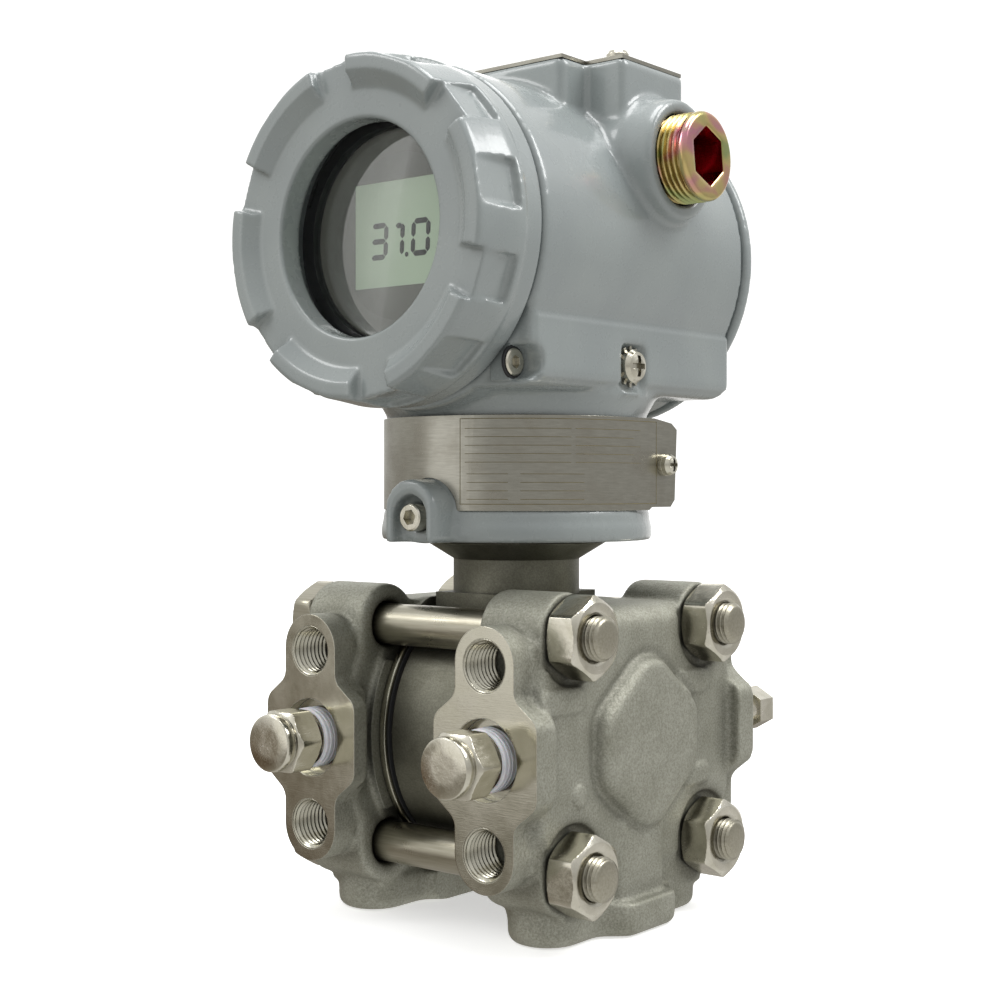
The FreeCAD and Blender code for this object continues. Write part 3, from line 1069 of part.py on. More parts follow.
gap = pocketed(b, "rear_gap", D.rear_cover_end, 9.0, [(12.0, -4.0), (46.0, -7.5), (46.0, 7.5), (12.0, 4.0)])
around(b, "rear_gaps", gap, 6)
rear_cover = node(b)
rear_cover_seal = node(ring("rear_cover_seal", 35.6, 0.82, (0, D.rear_cover_front - 1.6, ax), "Y"))

terminal_block = node(cut(
    "terminal_block",
    fuse("terminal_raw", box("terminal_base", -20, 20, D.rear_floor, D.rear_floor + 12, ax - 24, ax - 2),
         *[box("terminal_rib", x, x + 1.4, D.rear_floor + 12, D.rear_floor + 16, ax - 24, ax - 2) for x in (-20, -7.4, 6, 18.6)]),
    *[cyl("terminal_mount", 1.5, 20, (x, D.rear_floor - 1, ax - 18), "Y") for x in (-14, 14)],
    *[cyl("terminal_thread", 1.6, 9, (x, D.rear_floor + 4, ax - 10), "Y") for x in (-13, 0, 13)]))
terminal_screws = node(group("terminal_screws", *[
    fuse("terminal_screw_%d" % k, cyl("terminal_screw_head", 3.4, 2.2, (x, D.rear_floor + 12, ax - 10), "Y"),
         cyl("terminal_screw_shank", 1.6, 7, (x, D.rear_floor + 5, ax - 10), "Y")) for k, x in enumerate((-13, 0, 13))],
    *[fuse("terminal_mount_screw_%d" % k, cyl("terminal_mount_head", 2.3, 1.8, (x, D.rear_floor + 12, ax - 18), "Y"),
           cyl("terminal_mount_shank", 1.5, 15.5, (x, D.rear_floor - 3.5, ax - 18), "Y")) for k, x in enumerate((-14, 14))]))
inner_ground_screw = node(fuse(
    "inner_ground_screw", cyl("inner_ground_head", 3.5, 2.4, (24, D.rear_floor, ax + 8), "Y"),
    cyl("inner_ground_shank", 1.8, 4, (24, D.rear_floor - 4, ax + 8), "Y")))

doc.recompute()

# ---------------------------------------------------------------- check and write
bad = []
for o in doc.Objects:
    state = [s for s in o.State if s in ("Invalid", "Error", "Touched")]
    if state:
        bad.append((o.Label, state))
for o in NODES:
    s = o.Shape
    if s.isNull() or not s.isValid() or not s.Solids:
        bad.append((o.Label, "shape"))
print("objects", len(doc.Objects), "nodes", len(NODES), "bad", bad)
os.makedirs("parts", exist_ok=True)
for o in NODES:
    s = o.Shape
    bb = s.BoundBox
    print("%-24s solids %d  x %.1f..%.1f  y %.1f..%.1f  z %.1f..%.1f  vol %.0f" % (
        o.Label, len(s.Solids), bb.XMin, bb.XMax, bb.YMin, bb.YMax, bb.ZMin, bb.ZMax, s.Volume))
if bad:
    raise SystemExit("model has errors: %s" % bad)
for o in NODES:
    o.Shape.exportStep("parts/%s.step" % o.Label)
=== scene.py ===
import json
import math

import bmesh
import bpy
import numpy as np
from mathutils import Matrix, Vector


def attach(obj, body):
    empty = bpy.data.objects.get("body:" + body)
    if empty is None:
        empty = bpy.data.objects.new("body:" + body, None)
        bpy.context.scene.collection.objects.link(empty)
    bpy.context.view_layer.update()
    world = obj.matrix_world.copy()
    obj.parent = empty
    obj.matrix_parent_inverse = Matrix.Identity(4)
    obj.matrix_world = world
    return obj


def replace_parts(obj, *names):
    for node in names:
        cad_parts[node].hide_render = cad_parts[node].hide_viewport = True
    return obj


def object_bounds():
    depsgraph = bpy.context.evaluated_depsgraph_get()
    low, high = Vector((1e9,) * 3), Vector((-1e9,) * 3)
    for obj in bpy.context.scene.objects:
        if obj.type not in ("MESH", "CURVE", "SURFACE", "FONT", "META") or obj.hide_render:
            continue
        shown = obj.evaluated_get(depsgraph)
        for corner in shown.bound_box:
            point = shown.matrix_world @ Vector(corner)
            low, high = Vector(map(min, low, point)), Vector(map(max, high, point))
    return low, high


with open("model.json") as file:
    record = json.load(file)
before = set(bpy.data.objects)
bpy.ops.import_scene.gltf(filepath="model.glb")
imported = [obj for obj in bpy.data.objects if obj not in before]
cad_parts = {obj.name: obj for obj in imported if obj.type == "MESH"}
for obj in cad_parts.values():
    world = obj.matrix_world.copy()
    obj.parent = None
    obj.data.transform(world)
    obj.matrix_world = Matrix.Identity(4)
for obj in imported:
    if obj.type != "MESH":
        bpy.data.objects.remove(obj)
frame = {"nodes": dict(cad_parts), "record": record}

MM = 0.001
NODES = frame["nodes"]
FRAME_BOX = [list(v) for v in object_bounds()]
RECORD = frame["record"]


# ---------------------------------------------------------------- materials

class Tree:
    """A node material, with lengths given in millimetres of the object's own coordinates."""

    def __init__(self, name):
        self.mat = bpy.data.materials.new(name)
        self.mat.use_nodes = True
        self.t = self.mat.node_tree
        self.t.nodes.clear()
        self.out = self.t.nodes.new("ShaderNodeOutputMaterial")
        self.co = self.t.nodes.new("ShaderNodeTexCoord").outputs["Object"]

    def put(self, node, key, value):
        socket = node.inputs[key]
        if isinstance(value, bpy.types.Node):
            value = value.outputs[0]
        if isinstance(value, bpy.types.NodeSocket):
            self.t.links.new(value, socket)
        else:
            socket.default_value = value

    def add(self, kind, ins=None, **props):
        node = self.t.nodes.new(kind)
        for key, value in props.items():
            setattr(node, key, value)
        for key, value in (ins or {}).items():
            self.put(node, key, value)
        return node

    def space(self, scale=(1, 1, 1), turn=(0, 0, 0), shift=(0, 0, 0)):
        return self.add("ShaderNodeMapping", {
            "Vector": self.co, "Scale": tuple(1000.0 * s for s in scale), "Rotation": turn, "Location": shift})

    def noise(self, size, detail=3.0, rough=0.55, where=None, warp=0.0):
        return self.add("ShaderNodeTexNoise", {
            "Vector": where or self.space(), "Scale": 1.0 / size, "Detail": detail, "Roughness": rough,
            "Distortion": warp}).outputs["Fac"]

    def cells(self, size, where=None):
        return self.add("ShaderNodeTexVoronoi", {"Vector": where or self.space(), "Scale": 1.0 / size}).outputs["Distance"]

    def sum(self, kind, a, b=0.0):
        return self.add("ShaderNodeMath", {0: a, 1: b}, operation=kind)

    def span(self, value, low, high, to_low=0.0, to_high=1.0, smooth=False):
        return self.add("ShaderNodeMapRange", {
            "Value": value, "From Min": low, "From Max": high, "To Min": to_low, "To Max": to_high},
            interpolation_type="SMOOTHSTEP" if smooth else "LINEAR")

    def mix(self, factor, a, b, how="MIX"):
        node = self.t.nodes.new("ShaderNodeMix")
        node.data_type = "RGBA"
        node.blend_type = how
        for index, value in ((0, factor), (6, a), (7, b)):
            if isinstance(value, bpy.types.Node):
                value = value.outputs[0]
            if isinstance(value, bpy.types.NodeSocket):
                self.t.links.new(value, node.inputs[index])
            else:
                node.inputs[index].default_value = value
        return node.outputs[2]

    def ramp(self, value, stops, how="LINEAR"):
        node = self.add("ShaderNodeValToRGB", {"Fac": value})
        node.color_ramp.interpolation = how
        bar = node.color_ramp.elements
        while len(bar) < len(stops):
            bar.new(0.5)
        for element, (at, colour) in zip(bar, stops):
            element.position = at
            element.color = colour
        return node.outputs[0]

    def bump(self, height, deep, normal=None, strength=1.0):
        ins = {"Height": height, "Distance": deep * MM, "Strength": strength}
        if normal is not None:
            ins["Normal"] = normal
        return self.add("ShaderNodeBump", ins)

    def rounded(self, radius, samples=4):
        return self.add("ShaderNodeBevel", {"Radius": radius * MM}, samples=samples)

    def worn_edge(self, radius, low=0.02, high=0.2):
        round_normal = self.rounded(radius).outputs[0]
        flat_normal = self.add("ShaderNodeNewGeometry").outputs["Normal"]
        dot = self.add("ShaderNodeVectorMath", {0: round_normal, 1: flat_normal}, operation="DOT_PRODUCT").outputs["Value"]
        return self.span(self.sum("SUBTRACT", 1.0, dot), low, high)

    # Ambient occlusion as a mask for painted shade: colour is darkened where creases and recesses lie in shadow.
    def painted_crease_shade(self, reach, samples=4):
        node = self.add("ShaderNodeAmbientOcclusion", {"Distance": reach * MM}, samples=samples)
        return node.outputs["AO"]

    def principled(self, **ins):
        node = self.t.nodes.new("ShaderNodeBsdfPrincipled")
        for key, value in ins.items():
            self.put(node, key.replace("_", " "), value)
        self.t.links.new(node.outputs[0], self.out.inputs["Surface"])
        return node


def rgb(r, g, b):
    """An sRGB colour out of 255 as a linear one."""
    def one(c):
        c /= 255.0
        return c / 12.92 if c <= 0.04045 else ((c + 0.055) / 1.055) ** 2.4
    return (one(r), one(g), one(b), 1.0)


def make_cast():
    t = Tree("cast_steel")
    grain = t.noise(0.55, 5.0, 0.75)
    speck = t.noise(0.9, 4.0, 0.8)
    lumps = t.noise(3.2, 3.0, 0.5)
    patch = t.noise(11.0, 4.0, 0.6)
    pits = t.span(t.cells(1.5), 0.0, 0.17, 1.0, 0.0, True)
    base = t.mix(t.span(patch, 0.36, 0.64), rgb(166, 166, 153), rgb(182, 182, 170))
    base = t.mix(t.span(grain, 0.40, 0.62, 0.42, 0.0), base, rgb(100, 98, 83))
    base = t.mix(t.span(speck, 0.54, 0.68, 0.0, 0.28), base, rgb(190, 189, 177))
    base = t.mix(t.sum("MULTIPLY", pits, 0.35), base, rgb(84, 82, 70))
    # Painted shade: the cast colour darkens towards near-black in creases and round the raised pads, by ambient
    # occlusion.
    base = t.mix(t.span(t.painted_crease_shade(6.5), 0.35, 0.98, 0.85, 0.0), base, rgb(46, 45, 37))
    rough = t.span(grain, 0.35, 0.65, 0.62, 0.5)
    bump = t.bump(lumps, 0.14, t.rounded(0.5))
    bump = t.bump(grain, 0.16, bump)
    bump = t.bump(pits, -0.08, bump)
    t.principled(Base_Color=base, Metallic=0.8, Roughness=rough, Normal=bump)
    return t.mat


def make_sensor():
    t = Tree("sensor_steel")
    grain = t.noise(0.45, 4.0, 0.7)
    turned = t.noise(0.5, 3.0, 0.6, t.space((0.12, 1.0, 1.0)))
    patch = t.noise(9.0, 3.0, 0.55)
    # Base tones darker than the other steels: partly a dull turned finish, partly painted shade for the neck lying in
    # shadow between the flanges.
    base = t.mix(t.span(patch, 0.35, 0.65), rgb(118, 117, 104), rgb(136, 135, 122))
    base = t.mix(t.span(grain, 0.42, 0.6, 0.3, 0.0), base, rgb(70, 68, 56))
    # Painted shade: ambient occlusion with a wide reach darkens the neck and cone between the flanges.
    base = t.mix(t.span(t.painted_crease_shade(9.0), 0.2, 0.95, 0.72, 0.0), base, rgb(34, 32, 26))
    rough = t.span(turned, 0.3, 0.7, 0.42, 0.54)
    bump = t.bump(grain, 0.05, t.rounded(0.3))
    bump = t.bump(turned, 0.02, bump)
    t.principled(Base_Color=base, Metallic=0.85, Roughness=rough, Normal=bump)
    return t.mat


def make_bright():
    t = Tree("bright_steel")
    smear = t.noise(4.0, 3.0, 0.5)
    fine = t.noise(0.5, 4.0, 0.65, t.space((1.0, 0.18, 1.0)))
    spots = t.noise(1.1, 4.0, 0.7)
    base = t.mix(t.span(smear, 0.3, 0.7), rgb(200, 196, 180), rgb(220, 216, 203))
    base = t.mix(t.span(spots, 0.6, 0.75, 0.0, 0.3), base, rgb(120, 112, 92))
    # Painted shade: darkened in thread roots, nut bores and crevices by ambient occlusion.
    base = t.mix(t.span(t.painted_crease_shade(1.6), 0.15, 0.9, 0.6, 0.0), base, rgb(44, 40, 30))
    rough = t.sum("ADD", t.span(smear, 0.3, 0.7, 0.12, 0.2), t.span(fine, 0.4, 0.75, 0.0, 0.12))
    bump = t.bump(fine, 0.008, t.rounded(0.16))
    bump = t.bump(smear, 0.06, bump)
    t.principled(Base_Color=base, Metallic=1.0, Roughness=rough, Normal=bump)
    return t.mat


def make_machined():
    t = Tree("machined_steel")
    cut = t.noise(0.3, 2.0, 0.6, t.space((0.08, 1.0, 1.0)))
    smear = t.noise(7.0, 3.0, 0.5)
    spots = t.noise(0.8, 4.0, 0.75)
    base = t.mix(t.span(smear, 0.3, 0.7), rgb(184, 181, 165), rgb(202, 199, 185))
    base = t.mix(t.span(spots, 0.58, 0.72, 0.0, 0.3), base, rgb(112, 106, 88))
    # Painted shade: darkened in recesses and at inner corners by ambient occlusion.
    base = t.mix(t.span(t.painted_crease_shade(1.8), 0.2, 0.9, 0.5, 0.0), base, rgb(50, 46, 36))
    rough = t.span(smear, 0.3, 0.7, 0.13, 0.2)
    bump = t.bump(cut, 0.008, t.rounded(0.35))
    bump = t.bump(smear, 0.03, bump)
    t.principled(Base_Color=base, Metallic=1.0, Roughness=rough, Normal=bump)
    return t.mat


def make_stem():
    """Drawn bar: fine lines along the axis."""
    t = Tree("drawn_steel")
    run = t.noise(0.6, 4.0, 0.6, t.space((0.05, 1.0, 1.0)))
    smear = t.noise(6.0, 3.0, 0.5)
    base = t.mix(t.span(run, 0.3, 0.7), rgb(160, 155, 138), rgb(182, 178, 163))
    # Painted shade: darkened where the shank meets heads and flanges by ambient occlusion.
    base = t.mix(t.span(t.painted_crease_shade(3.0), 0.2, 0.9, 0.6, 0.0), base, rgb(44, 40, 30))
    rough = t.span(smear, 0.3, 0.7, 0.26, 0.36)
    t.principled(Base_Color=base, Metallic=1.0, Roughness=rough, Normal=t.bump(run, 0.008, t.rounded(0.2)))
    return t.mat


def make_tape():
    t = Tree("white_tape")
    wrap = t.noise(0.35, 3.0, 0.6, t.space((1.0, 3.0, 1.0)))
    soft = t.noise(2.0, 2.0, 0.5)
    base = t.mix(t.span(soft, 0.3, 0.7), rgb(214, 214, 222), rgb(233, 233, 238))
    # Painted shade: the tape greys in wrinkles and at the port mouth by ambient occlusion.
    base = t.mix(t.span(t.painted_crease_shade(1.0), 0.3, 0.95, 0.45, 0.0), base, rgb(150, 150, 158))
    t.principled(Base_Color=base, Roughness=t.span(wrap, 0.3, 0.7, 0.35, 0.55), Subsurface_Weight=0.15,
                 Subsurface_Scale=0.0008, Normal=t.bump(wrap, 0.03))
    return t.mat


def make_paint():
    t = Tree("grey_paint")
    peel = t.noise(2.2, 2.0, 0.5)
    slow = t.noise(18.0, 2.0, 0.5)
    fine = t.noise(0.6, 3.0, 0.6)
    base = t.mix(t.span(slow, 0.35, 0.65), rgb(139, 146, 146), rgb(145, 152, 151))
    base = t.mix(t.span(fine, 0.5, 0.7, 0.0, 0.1), base, rgb(160, 165, 163))
    # Painted shade: the paint darkens in creases and inner corners by ambient occlusion.
    base = t.mix(t.span(t.painted_crease_shade(3.0), 0.25, 0.9, 0.42, 0.0), base, rgb(72, 79, 80))
    rough = t.span(t.noise(5.0, 3.0, 0.6), 0.3, 0.7, 0.24, 0.31)
    bump = t.bump(peel, 0.014, t.rounded(0.3))
    bump = t.bump(fine, 0.003, bump)
    t.principled(Base_Color=base, Roughness=rough, Specular_IOR_Level=0.6, Coat_Weight=0.5, Coat_Roughness=0.1, Normal=bump)
    return t.mat


def make_band():
    t = Tree("band_steel")
    run = t.noise(0.35, 3.0, 0.6, t.space((0.1, 0.1, 1.0)))
    smear = t.noise(6.0, 3.0, 0.5)
    base = t.mix(t.span(run, 0.3, 0.7), rgb(158, 156, 146), rgb(172, 170, 160))
    base = t.mix(t.span(smear, 0.42, 0.66, 0.0, 0.3), base, rgb(138, 132, 120))
    # Painted shade: darkened where the band meets the housing by ambient occlusion.
    base = t.mix(t.span(t.painted_crease_shade(2.5), 0.2, 0.9, 0.6, 0.0), base, rgb(50, 46, 40))
    rough = t.span(smear, 0.3, 0.7, 0.2, 0.28)
    t.principled(Base_Color=base, Metallic=1.0, Roughness=rough, Anisotropic=0.3, Normal=t.bump(run, 0.004, t.rounded(0.12)))
    return t.mat


def make_zinc(name, stops, rough_low, rough_high, size=7.0):
    """Passivated plating whose tint drifts slowly over the part; with the socket stops the pale pink in the drift is a
    painted highlight.
    """
    t = Tree(name)
    film = t.noise(size, 1.0, 0.4, t.space((1.0, 0.8, 1.0)), warp=0.6)
    fine = t.noise(0.5, 3.0, 0.6)
    colour = t.ramp(t.sum("ADD", film, t.span(fine, 0.3, 0.7, -0.012, 0.012)), stops)
    # Painted shade: colour darkened towards brown in thread roots and recesses by ambient occlusion.
    colour = t.mix(t.span(t.painted_crease_shade(1.2), 0.3, 0.9, 0.5, 0.0), colour, rgb(90, 48, 30))
    rough = t.span(fine, 0.3, 0.7, rough_low, rough_high)
    t.principled(Base_Color=colour, Metallic=1.0, Roughness=rough, Normal=t.bump(fine, 0.008, t.rounded(0.12)))
    return t.mat


def make_rubber():
    t = Tree("black_rubber")
    fine = t.noise(0.4, 3.0, 0.6)
    base = t.mix(t.span(fine, 0.3, 0.7), rgb(24, 25, 27), rgb(38, 39, 41))
    t.principled(Base_Color=base, Roughness=t.span(fine, 0.3, 0.7, 0.5, 0.7), Normal=t.bump(fine, 0.01))
    return t.mat


def make_plastic(name, low, high, rough_low=0.4, rough_high=0.55, deep=0.01, shine=0.5):
    t = Tree(name)
    fine = t.noise(0.3, 3.0, 0.6)
    slow = t.noise(6.0, 2.0, 0.5)
    base = t.mix(t.span(slow, 0.3, 0.7), low, high)
    t.principled(Base_Color=base, Roughness=t.span(fine, 0.3, 0.7, rough_low, rough_high), Specular_IOR_Level=shine,
                 Normal=t.bump(fine, deep, t.rounded(0.2)))
    return t.mat


def make_glass():
    t = Tree("window")
    smear = t.noise(9.0, 3.0, 0.5)
    clear = t.add("ShaderNodeBsdfTransparent", {"Color": (0.97, 0.98, 0.975, 1.0)})
    gloss = t.add("ShaderNodeBsdfGlossy", {"Color": (1, 1, 1, 1), "Roughness": t.span(smear, 0.4, 0.7, 0.01, 0.06)})
    shine = t.add("ShaderNodeFresnel", {"IOR": 1.45})
    both = t.add("ShaderNodeMixShader", {0: t.sum("MULTIPLY", shine, 0.22), 1: clear, 2: gloss})
    t.t.links.new(both.outputs[0], t.out.inputs["Surface"])
    return t.mat


def make_lcd():
    t = Tree("display")
    slow = t.noise(12.0, 2.0, 0.5)
    fine = t.noise(0.25, 2.0, 0.5)
    base = t.mix(t.span(slow, 0.3, 0.7), rgb(158, 176, 152), rgb(168, 185, 161))
    # Painted glow: the panel emits a faint pale green light of its own, which lifts it behind the glass.
    t.principled(Base_Color=base, Roughness=t.span(fine, 0.3, 0.7, 0.25, 0.34), Normal=t.bump(fine, 0.002),
                 Emission_Color=rgb(160, 180, 152), Emission_Strength=0.12)
    return t.mat


def make_board():
    t = Tree("board")
    copper = t.noise(1.1, 1.0, 0.4, t.space((1.0, 1.0, 2.2)))
    base = t.mix(t.span(copper, 0.49, 0.51), rgb(22, 74, 44), rgb(30, 92, 56))
    fine = t.noise(0.3, 3.0, 0.6)
    t.principled(Base_Color=base, Roughness=t.span(fine, 0.3, 0.7, 0.3, 0.45), Normal=t.bump(t.span(copper, 0.47, 0.53), 0.03))
    return t.mat


ZINC = [(0.30, rgb(158, 168, 112)), (0.42, rgb(190, 180, 120)), (0.54, rgb(206, 184, 126)), (0.64, rgb(204, 158, 136)),
        (0.72, rgb(200, 138, 152)), (0.82, rgb(176, 164, 138))]
# Red socket plating; the pale pink stop is a painted highlight spread over the socket by noise.
SOCKET_AND_PAINTED_HIGHLIGHT = [(0.30, rgb(110, 18, 26)), (0.46, rgb(150, 30, 44)), (0.58, rgb(222, 100, 124)), (0.66, rgb(140, 30, 34)), (0.8, rgb(120, 54, 20))]

M = {
    "cast_steel": make_cast(),
    "bright_steel": make_bright(),
    "machined_steel": make_machined(),
    "sensor_steel": make_sensor(),
    "drawn_steel": make_stem(),
    "white_tape": make_tape(),
    "grey_paint": make_paint(),
    "band_steel": make_band(),
    "yellow_zinc": make_zinc("yellow_zinc", ZINC, 0.16, 0.26),
    "zinc_socket": make_zinc("zinc_socket", SOCKET_AND_PAINTED_HIGHLIGHT, 0.14, 0.22, 9.0),
    "black_rubber": make_rubber(),
    "dark_plastic": make_plastic("dark_plastic", rgb(94, 94, 87), rgb(102, 102, 95), 0.5, 0.65, 0.01, 0.35),
    "black_plastic": make_plastic("black_plastic", rgb(34, 36, 37), rgb(44, 46, 47)),
    "ring_metal": make_plastic("ring_metal", rgb(60, 62, 62), rgb(74, 76, 76), 0.3, 0.45),
    "window": make_glass(),
    "display": make_lcd(),
    "board": make_board(),
    "ribbon": make_plastic("ribbon", rgb(170, 96, 32), rgb(186, 112, 44), 0.25, 0.35, 0.004),
    "cell": make_plastic("cell", rgb(150, 146, 130), rgb(170, 166, 150), 0.3, 0.5),
    "spring_wire": make_bright(),
    "etched": make_plastic("etched", rgb(112, 100, 62), rgb(128, 116, 78), 0.45, 0.6, 0.004),
    "segment": make_plastic("segment", rgb(10, 14, 10), rgb(18, 23, 18), 0.5, 0.6, 0.002, 0.08),
}
M["spring_wire"].name = "spring_wire"


# ---------------------------------------------------------------- mesh helpers

def link(name, mesh, body, material):
    """A new piece from a mesh, riding on a body."""
    obj = bpy.data.objects.new(name, mesh)
    bpy.context.scene.collection.objects.link(obj)
    for m in material if isinstance(material, list) else [material]:
        mesh.materials.append(M[m])
    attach(obj, body)
    return obj


def smooth(mesh, angle=None):
    mesh.polygons.foreach_set("use_smooth", np.ones(len(mesh.polygons), bool))
    if angle is not None:
        mesh.set_sharp_from_angle(angle=math.radians(angle))
    mesh.update()
    return mesh


def from_arrays(name, co, faces):
    mesh = bpy.data.meshes.new(name)
    mesh.from_pydata([tuple(p) for p in co], [], faces)
    mesh.update()
    return mesh


def welded(node):
    """The node's mesh with its split vertices joined, as a new bmesh."""
    bm = bmesh.new()
    bm.from_mesh(NODES[node].data)
    bmesh.ops.remove_doubles(bm, verts=bm.verts, dist=2e-6)
    return bm


def arrays(mesh):
    co = np.zeros(len(mesh.vertices) * 3, np.float32)
    mesh.vertices.foreach_get("co", co)
    edges = np.zeros(len(mesh.edges) * 2, np.int32)
    mesh.edges.foreach_get("vertices", edges)
    return co.reshape(-1, 3).astype(np.float64), edges.reshape(-1, 2)


def relaxed(co, edges, weight, passes):
    """Each point drawn towards the mean of its neighbours by its weight."""
    n = len(co)
    count = np.maximum(np.bincount(edges.ravel(), minlength=n), 1)[:, None]
    for _ in range(passes):
        total = np.zeros_like(co)
        for axis in range(3):
            total[:, axis] = (np.bincount(edges[:, 0], co[edges[:, 1], axis], n) + np.bincount(edges[:, 1], co[edges[:, 0], axis], n))
        co = co + weight[:, None] * (total / count - co)
    return co


def voxel_mesh(node, voxel):
    """The node as an even quad mesh."""
    bm = welded(node)
    mesh = bpy.data.meshes.new(node + "_voxel")
    bm.to_mesh(mesh)
    bm.free()
    obj = bpy.data.objects.new(node + "_voxel", mesh)
    bpy.context.scene.collection.objects.link(obj)
    mod = obj.modifiers.new("remesh", "REMESH")
    mod.mode = "VOXEL"
    mod.voxel_size = voxel * MM
    mod.adaptivity = 0.0
    mod.use_smooth_shade = True
    dg = bpy.context.evaluated_depsgraph_get()
    out = bpy.data.meshes.new_from_object(obj.evaluated_get(dg))
    bpy.data.objects.remove(obj)
    return out


def ramp01(x, low, high):
    t = np.clip((x - low) / (high - low), 0, 1)
    return t * t * (3 - 2 * t)


def drop(mesh, keep):
    """The mesh with only the faces whose every vertex is kept."""
    bm = bmesh.new()
    bm.from_mesh(mesh)
    bm.verts.ensure_lookup_table()
    bmesh.ops.delete(bm, geom=[v for v, k in zip(bm.verts, keep) if not k], context="VERTS")
    bm.to_mesh(mesh)
    bm.free()
    return mesh


def on_cad(node, material, angle=None):
    obj = NODES[node]
    obj.data.materials.clear()
    obj.data.materials.append(M[material])
    return obj


# ---------------------------------------------------------------- CAD nodes that are shown as they are

FINISH = {
    "sensor_body": "sensor_steel", "process_gasket_right": "machined_steel", "process_gasket_left": "machined_steel",
    "process_plug_right": "bright_steel", "process_plug_left": "bright_steel",
    "vent_body_right": "bright_steel", "vent_body_left": "bright_steel",
    "bleed_screw_right": "bright_steel", "bleed_screw_left": "bright_steel",
    "lcd_bezel": "dark_plastic", "terminal_block": "black_plastic", "electronics_module": "black_plastic",
    "zero_button": "black_plastic", "span_button": "black_plastic",
}
PACKED_SLOT = {}
for entry in RECORD.get("nodes", []):
    if isinstance(entry, dict) and entry.get("material_slot"):
        PACKED_SLOT[entry.get("name") or entry.get("node")] = entry["material_slot"]
for name, obj in NODES.items():
    given = obj.data.materials[0].name.split(".")[0] if obj.data.materials else "bright_steel"
    wanted = FINISH.get(name, PACKED_SLOT.get(name, given))
    on_cad(name, wanted if wanted in M else "bright_steel")


# ---------------------------------------------------------------- cast flanges

BOLT_YZ = [(18.15, 26.42), (72.15, 26.42), (18.15, -26.42), (72.15, -26.42)]
TAP_Z = (20.65, -20.65)


def stadium(y, z, cy, cz, half, r):
    """Distance outside a stadium whose straight part runs along y."""
    return np.hypot(np.maximum(np.abs(y - cy) - half, 0), z - cz) - r


PAD = [(26.5, -7.5), (26.5, 7.5), (43.0, 20.0), (50.5, 20.0), (66.5, 7.5), (66.5, -7.5), (50.5, -20.0), (43.0, -20.0)]


def pad_edge(y, z):
    """Signed distance to the outline of the diamond pad, its corners rounded."""
    total = np.zeros(len(y))
    for (ay, az), (by, bz) in zip(PAD, PAD[1:] + PAD[:1]):
        ny, nz = az - bz, by - ay
        size = math.hypot(ny, nz)
        side = ((y - ay) * ny + (z - az) * nz) / size
        if (46.5 - ay) * ny + (0 - az) * nz > 0:
            side = -side
        total += np.exp(np.clip(side, -40, 40) / 1.1)
    return 1.1 * np.log(total)


def make_flange(tag, s):
    node = "process_flange_" + tag
    mesh = voxel_mesh(node, 0.66)
    co, edges = arrays(mesh)
    co *= 1000
    x, y, z = s * co[:, 0], co[:, 1], co[:, 2]
    w = 0.5 * ramp01(y, 4.2, 8.0) * ramp01(x, 12.6, 15.5)
    for by, bz in BOLT_YZ:
        d = np.hypot(y - by, z - bz)
        w *= 1 - 0.75 * (x > 34) * (1 - ramp01(d, 11.0, 12.6))
    w *= 0.15 + 0.85 * ramp01(np.hypot(x - 27, z), 8.6, 10.5)
    co = relaxed(co, edges, w, 5)
    x, y, z = s * co[:, 0], co[:, 1], co[:, 2]
    seat = (x < 15.9) & (np.hypot(y - 45.15, z) > 31.7) & (y > 4.6)
    co[seat, 0] = s * 15.9
    x = s * co[:, 0]
    far = pad_edge(y, z)
    face = ramp01(x, 36.5, 38.5)
    co[:, 0] += s * face * (0.9 * (1 - ramp01(far, -0.55, 0.35)) - 0.45 * ramp01(far, -0.1, 0.6) * (1 - ramp01(far, 0.9, 3.2)))
    outer = ramp01(x, 34.5, 36.0)
    lift = np.zeros(len(co))
    for cy, cz, half, r in ((13.8, 12.4, 5.2, 3.0), (66.6, 12.4, 4.2, 3.0), (67.8, -10.6, 3.6, 2.5), (20.3, -9.4, 0.0, 2.5)):
        lift += 0.34 * (1 - ramp01(stadium(y, z, cy, cz, half, r), -0.45, 0.45))
    co[:, 0] += s * 1.4 * outer * lift
    mesh.vertices.foreach_set("co", (co / 1000).astype(np.float32).ravel())
    drop(mesh, y > 3.5)

    bm = welded(node)
    bmesh.ops.bisect_plane(bm, geom=bm.verts[:] + bm.edges[:] + bm.faces[:], dist=1e-7,
                           plane_co=(0, 4.1 * MM, 0), plane_no=(0, 1, 0), clear_outer=True)
    split = []
    for f in bm.faces:
        f.smooth = True
        c, n = f.calc_center_median() * 1000, f.normal
        cx = abs(c.x) - 27
        bore = any(math.hypot(cx, c.z - tz) < 6.3 for tz in TAP_Z) or math.hypot(cx, c.z) < 9.6
        f.material_index = 1 if bore or (n.y < -0.9 and c.y < 0.05) else 0
    for e in bm.edges:
        if len(e.link_faces) == 2 and e.calc_face_angle(0) > math.radians(30):
            e.smooth = False
    skin = bmesh.new()
    skin.from_mesh(mesh)
    for f in skin.faces:
        f.smooth = True
        f.material_index = 0
    skin.to_mesh(mesh)
    skin.free()
    bm.from_mesh(mesh)
    whole = bpy.data.meshes.new(node + "_cast")
    bm.to_mesh(whole)
    bm.free()
    obj = link(node + "_cast", whole, "wetted_body", ["cast_steel", "machined_steel"])
    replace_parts(obj, node)


make_flange("right", 1)
make_flange("left", -1)


# ---------------------------------------------------------------- turned and threaded pieces

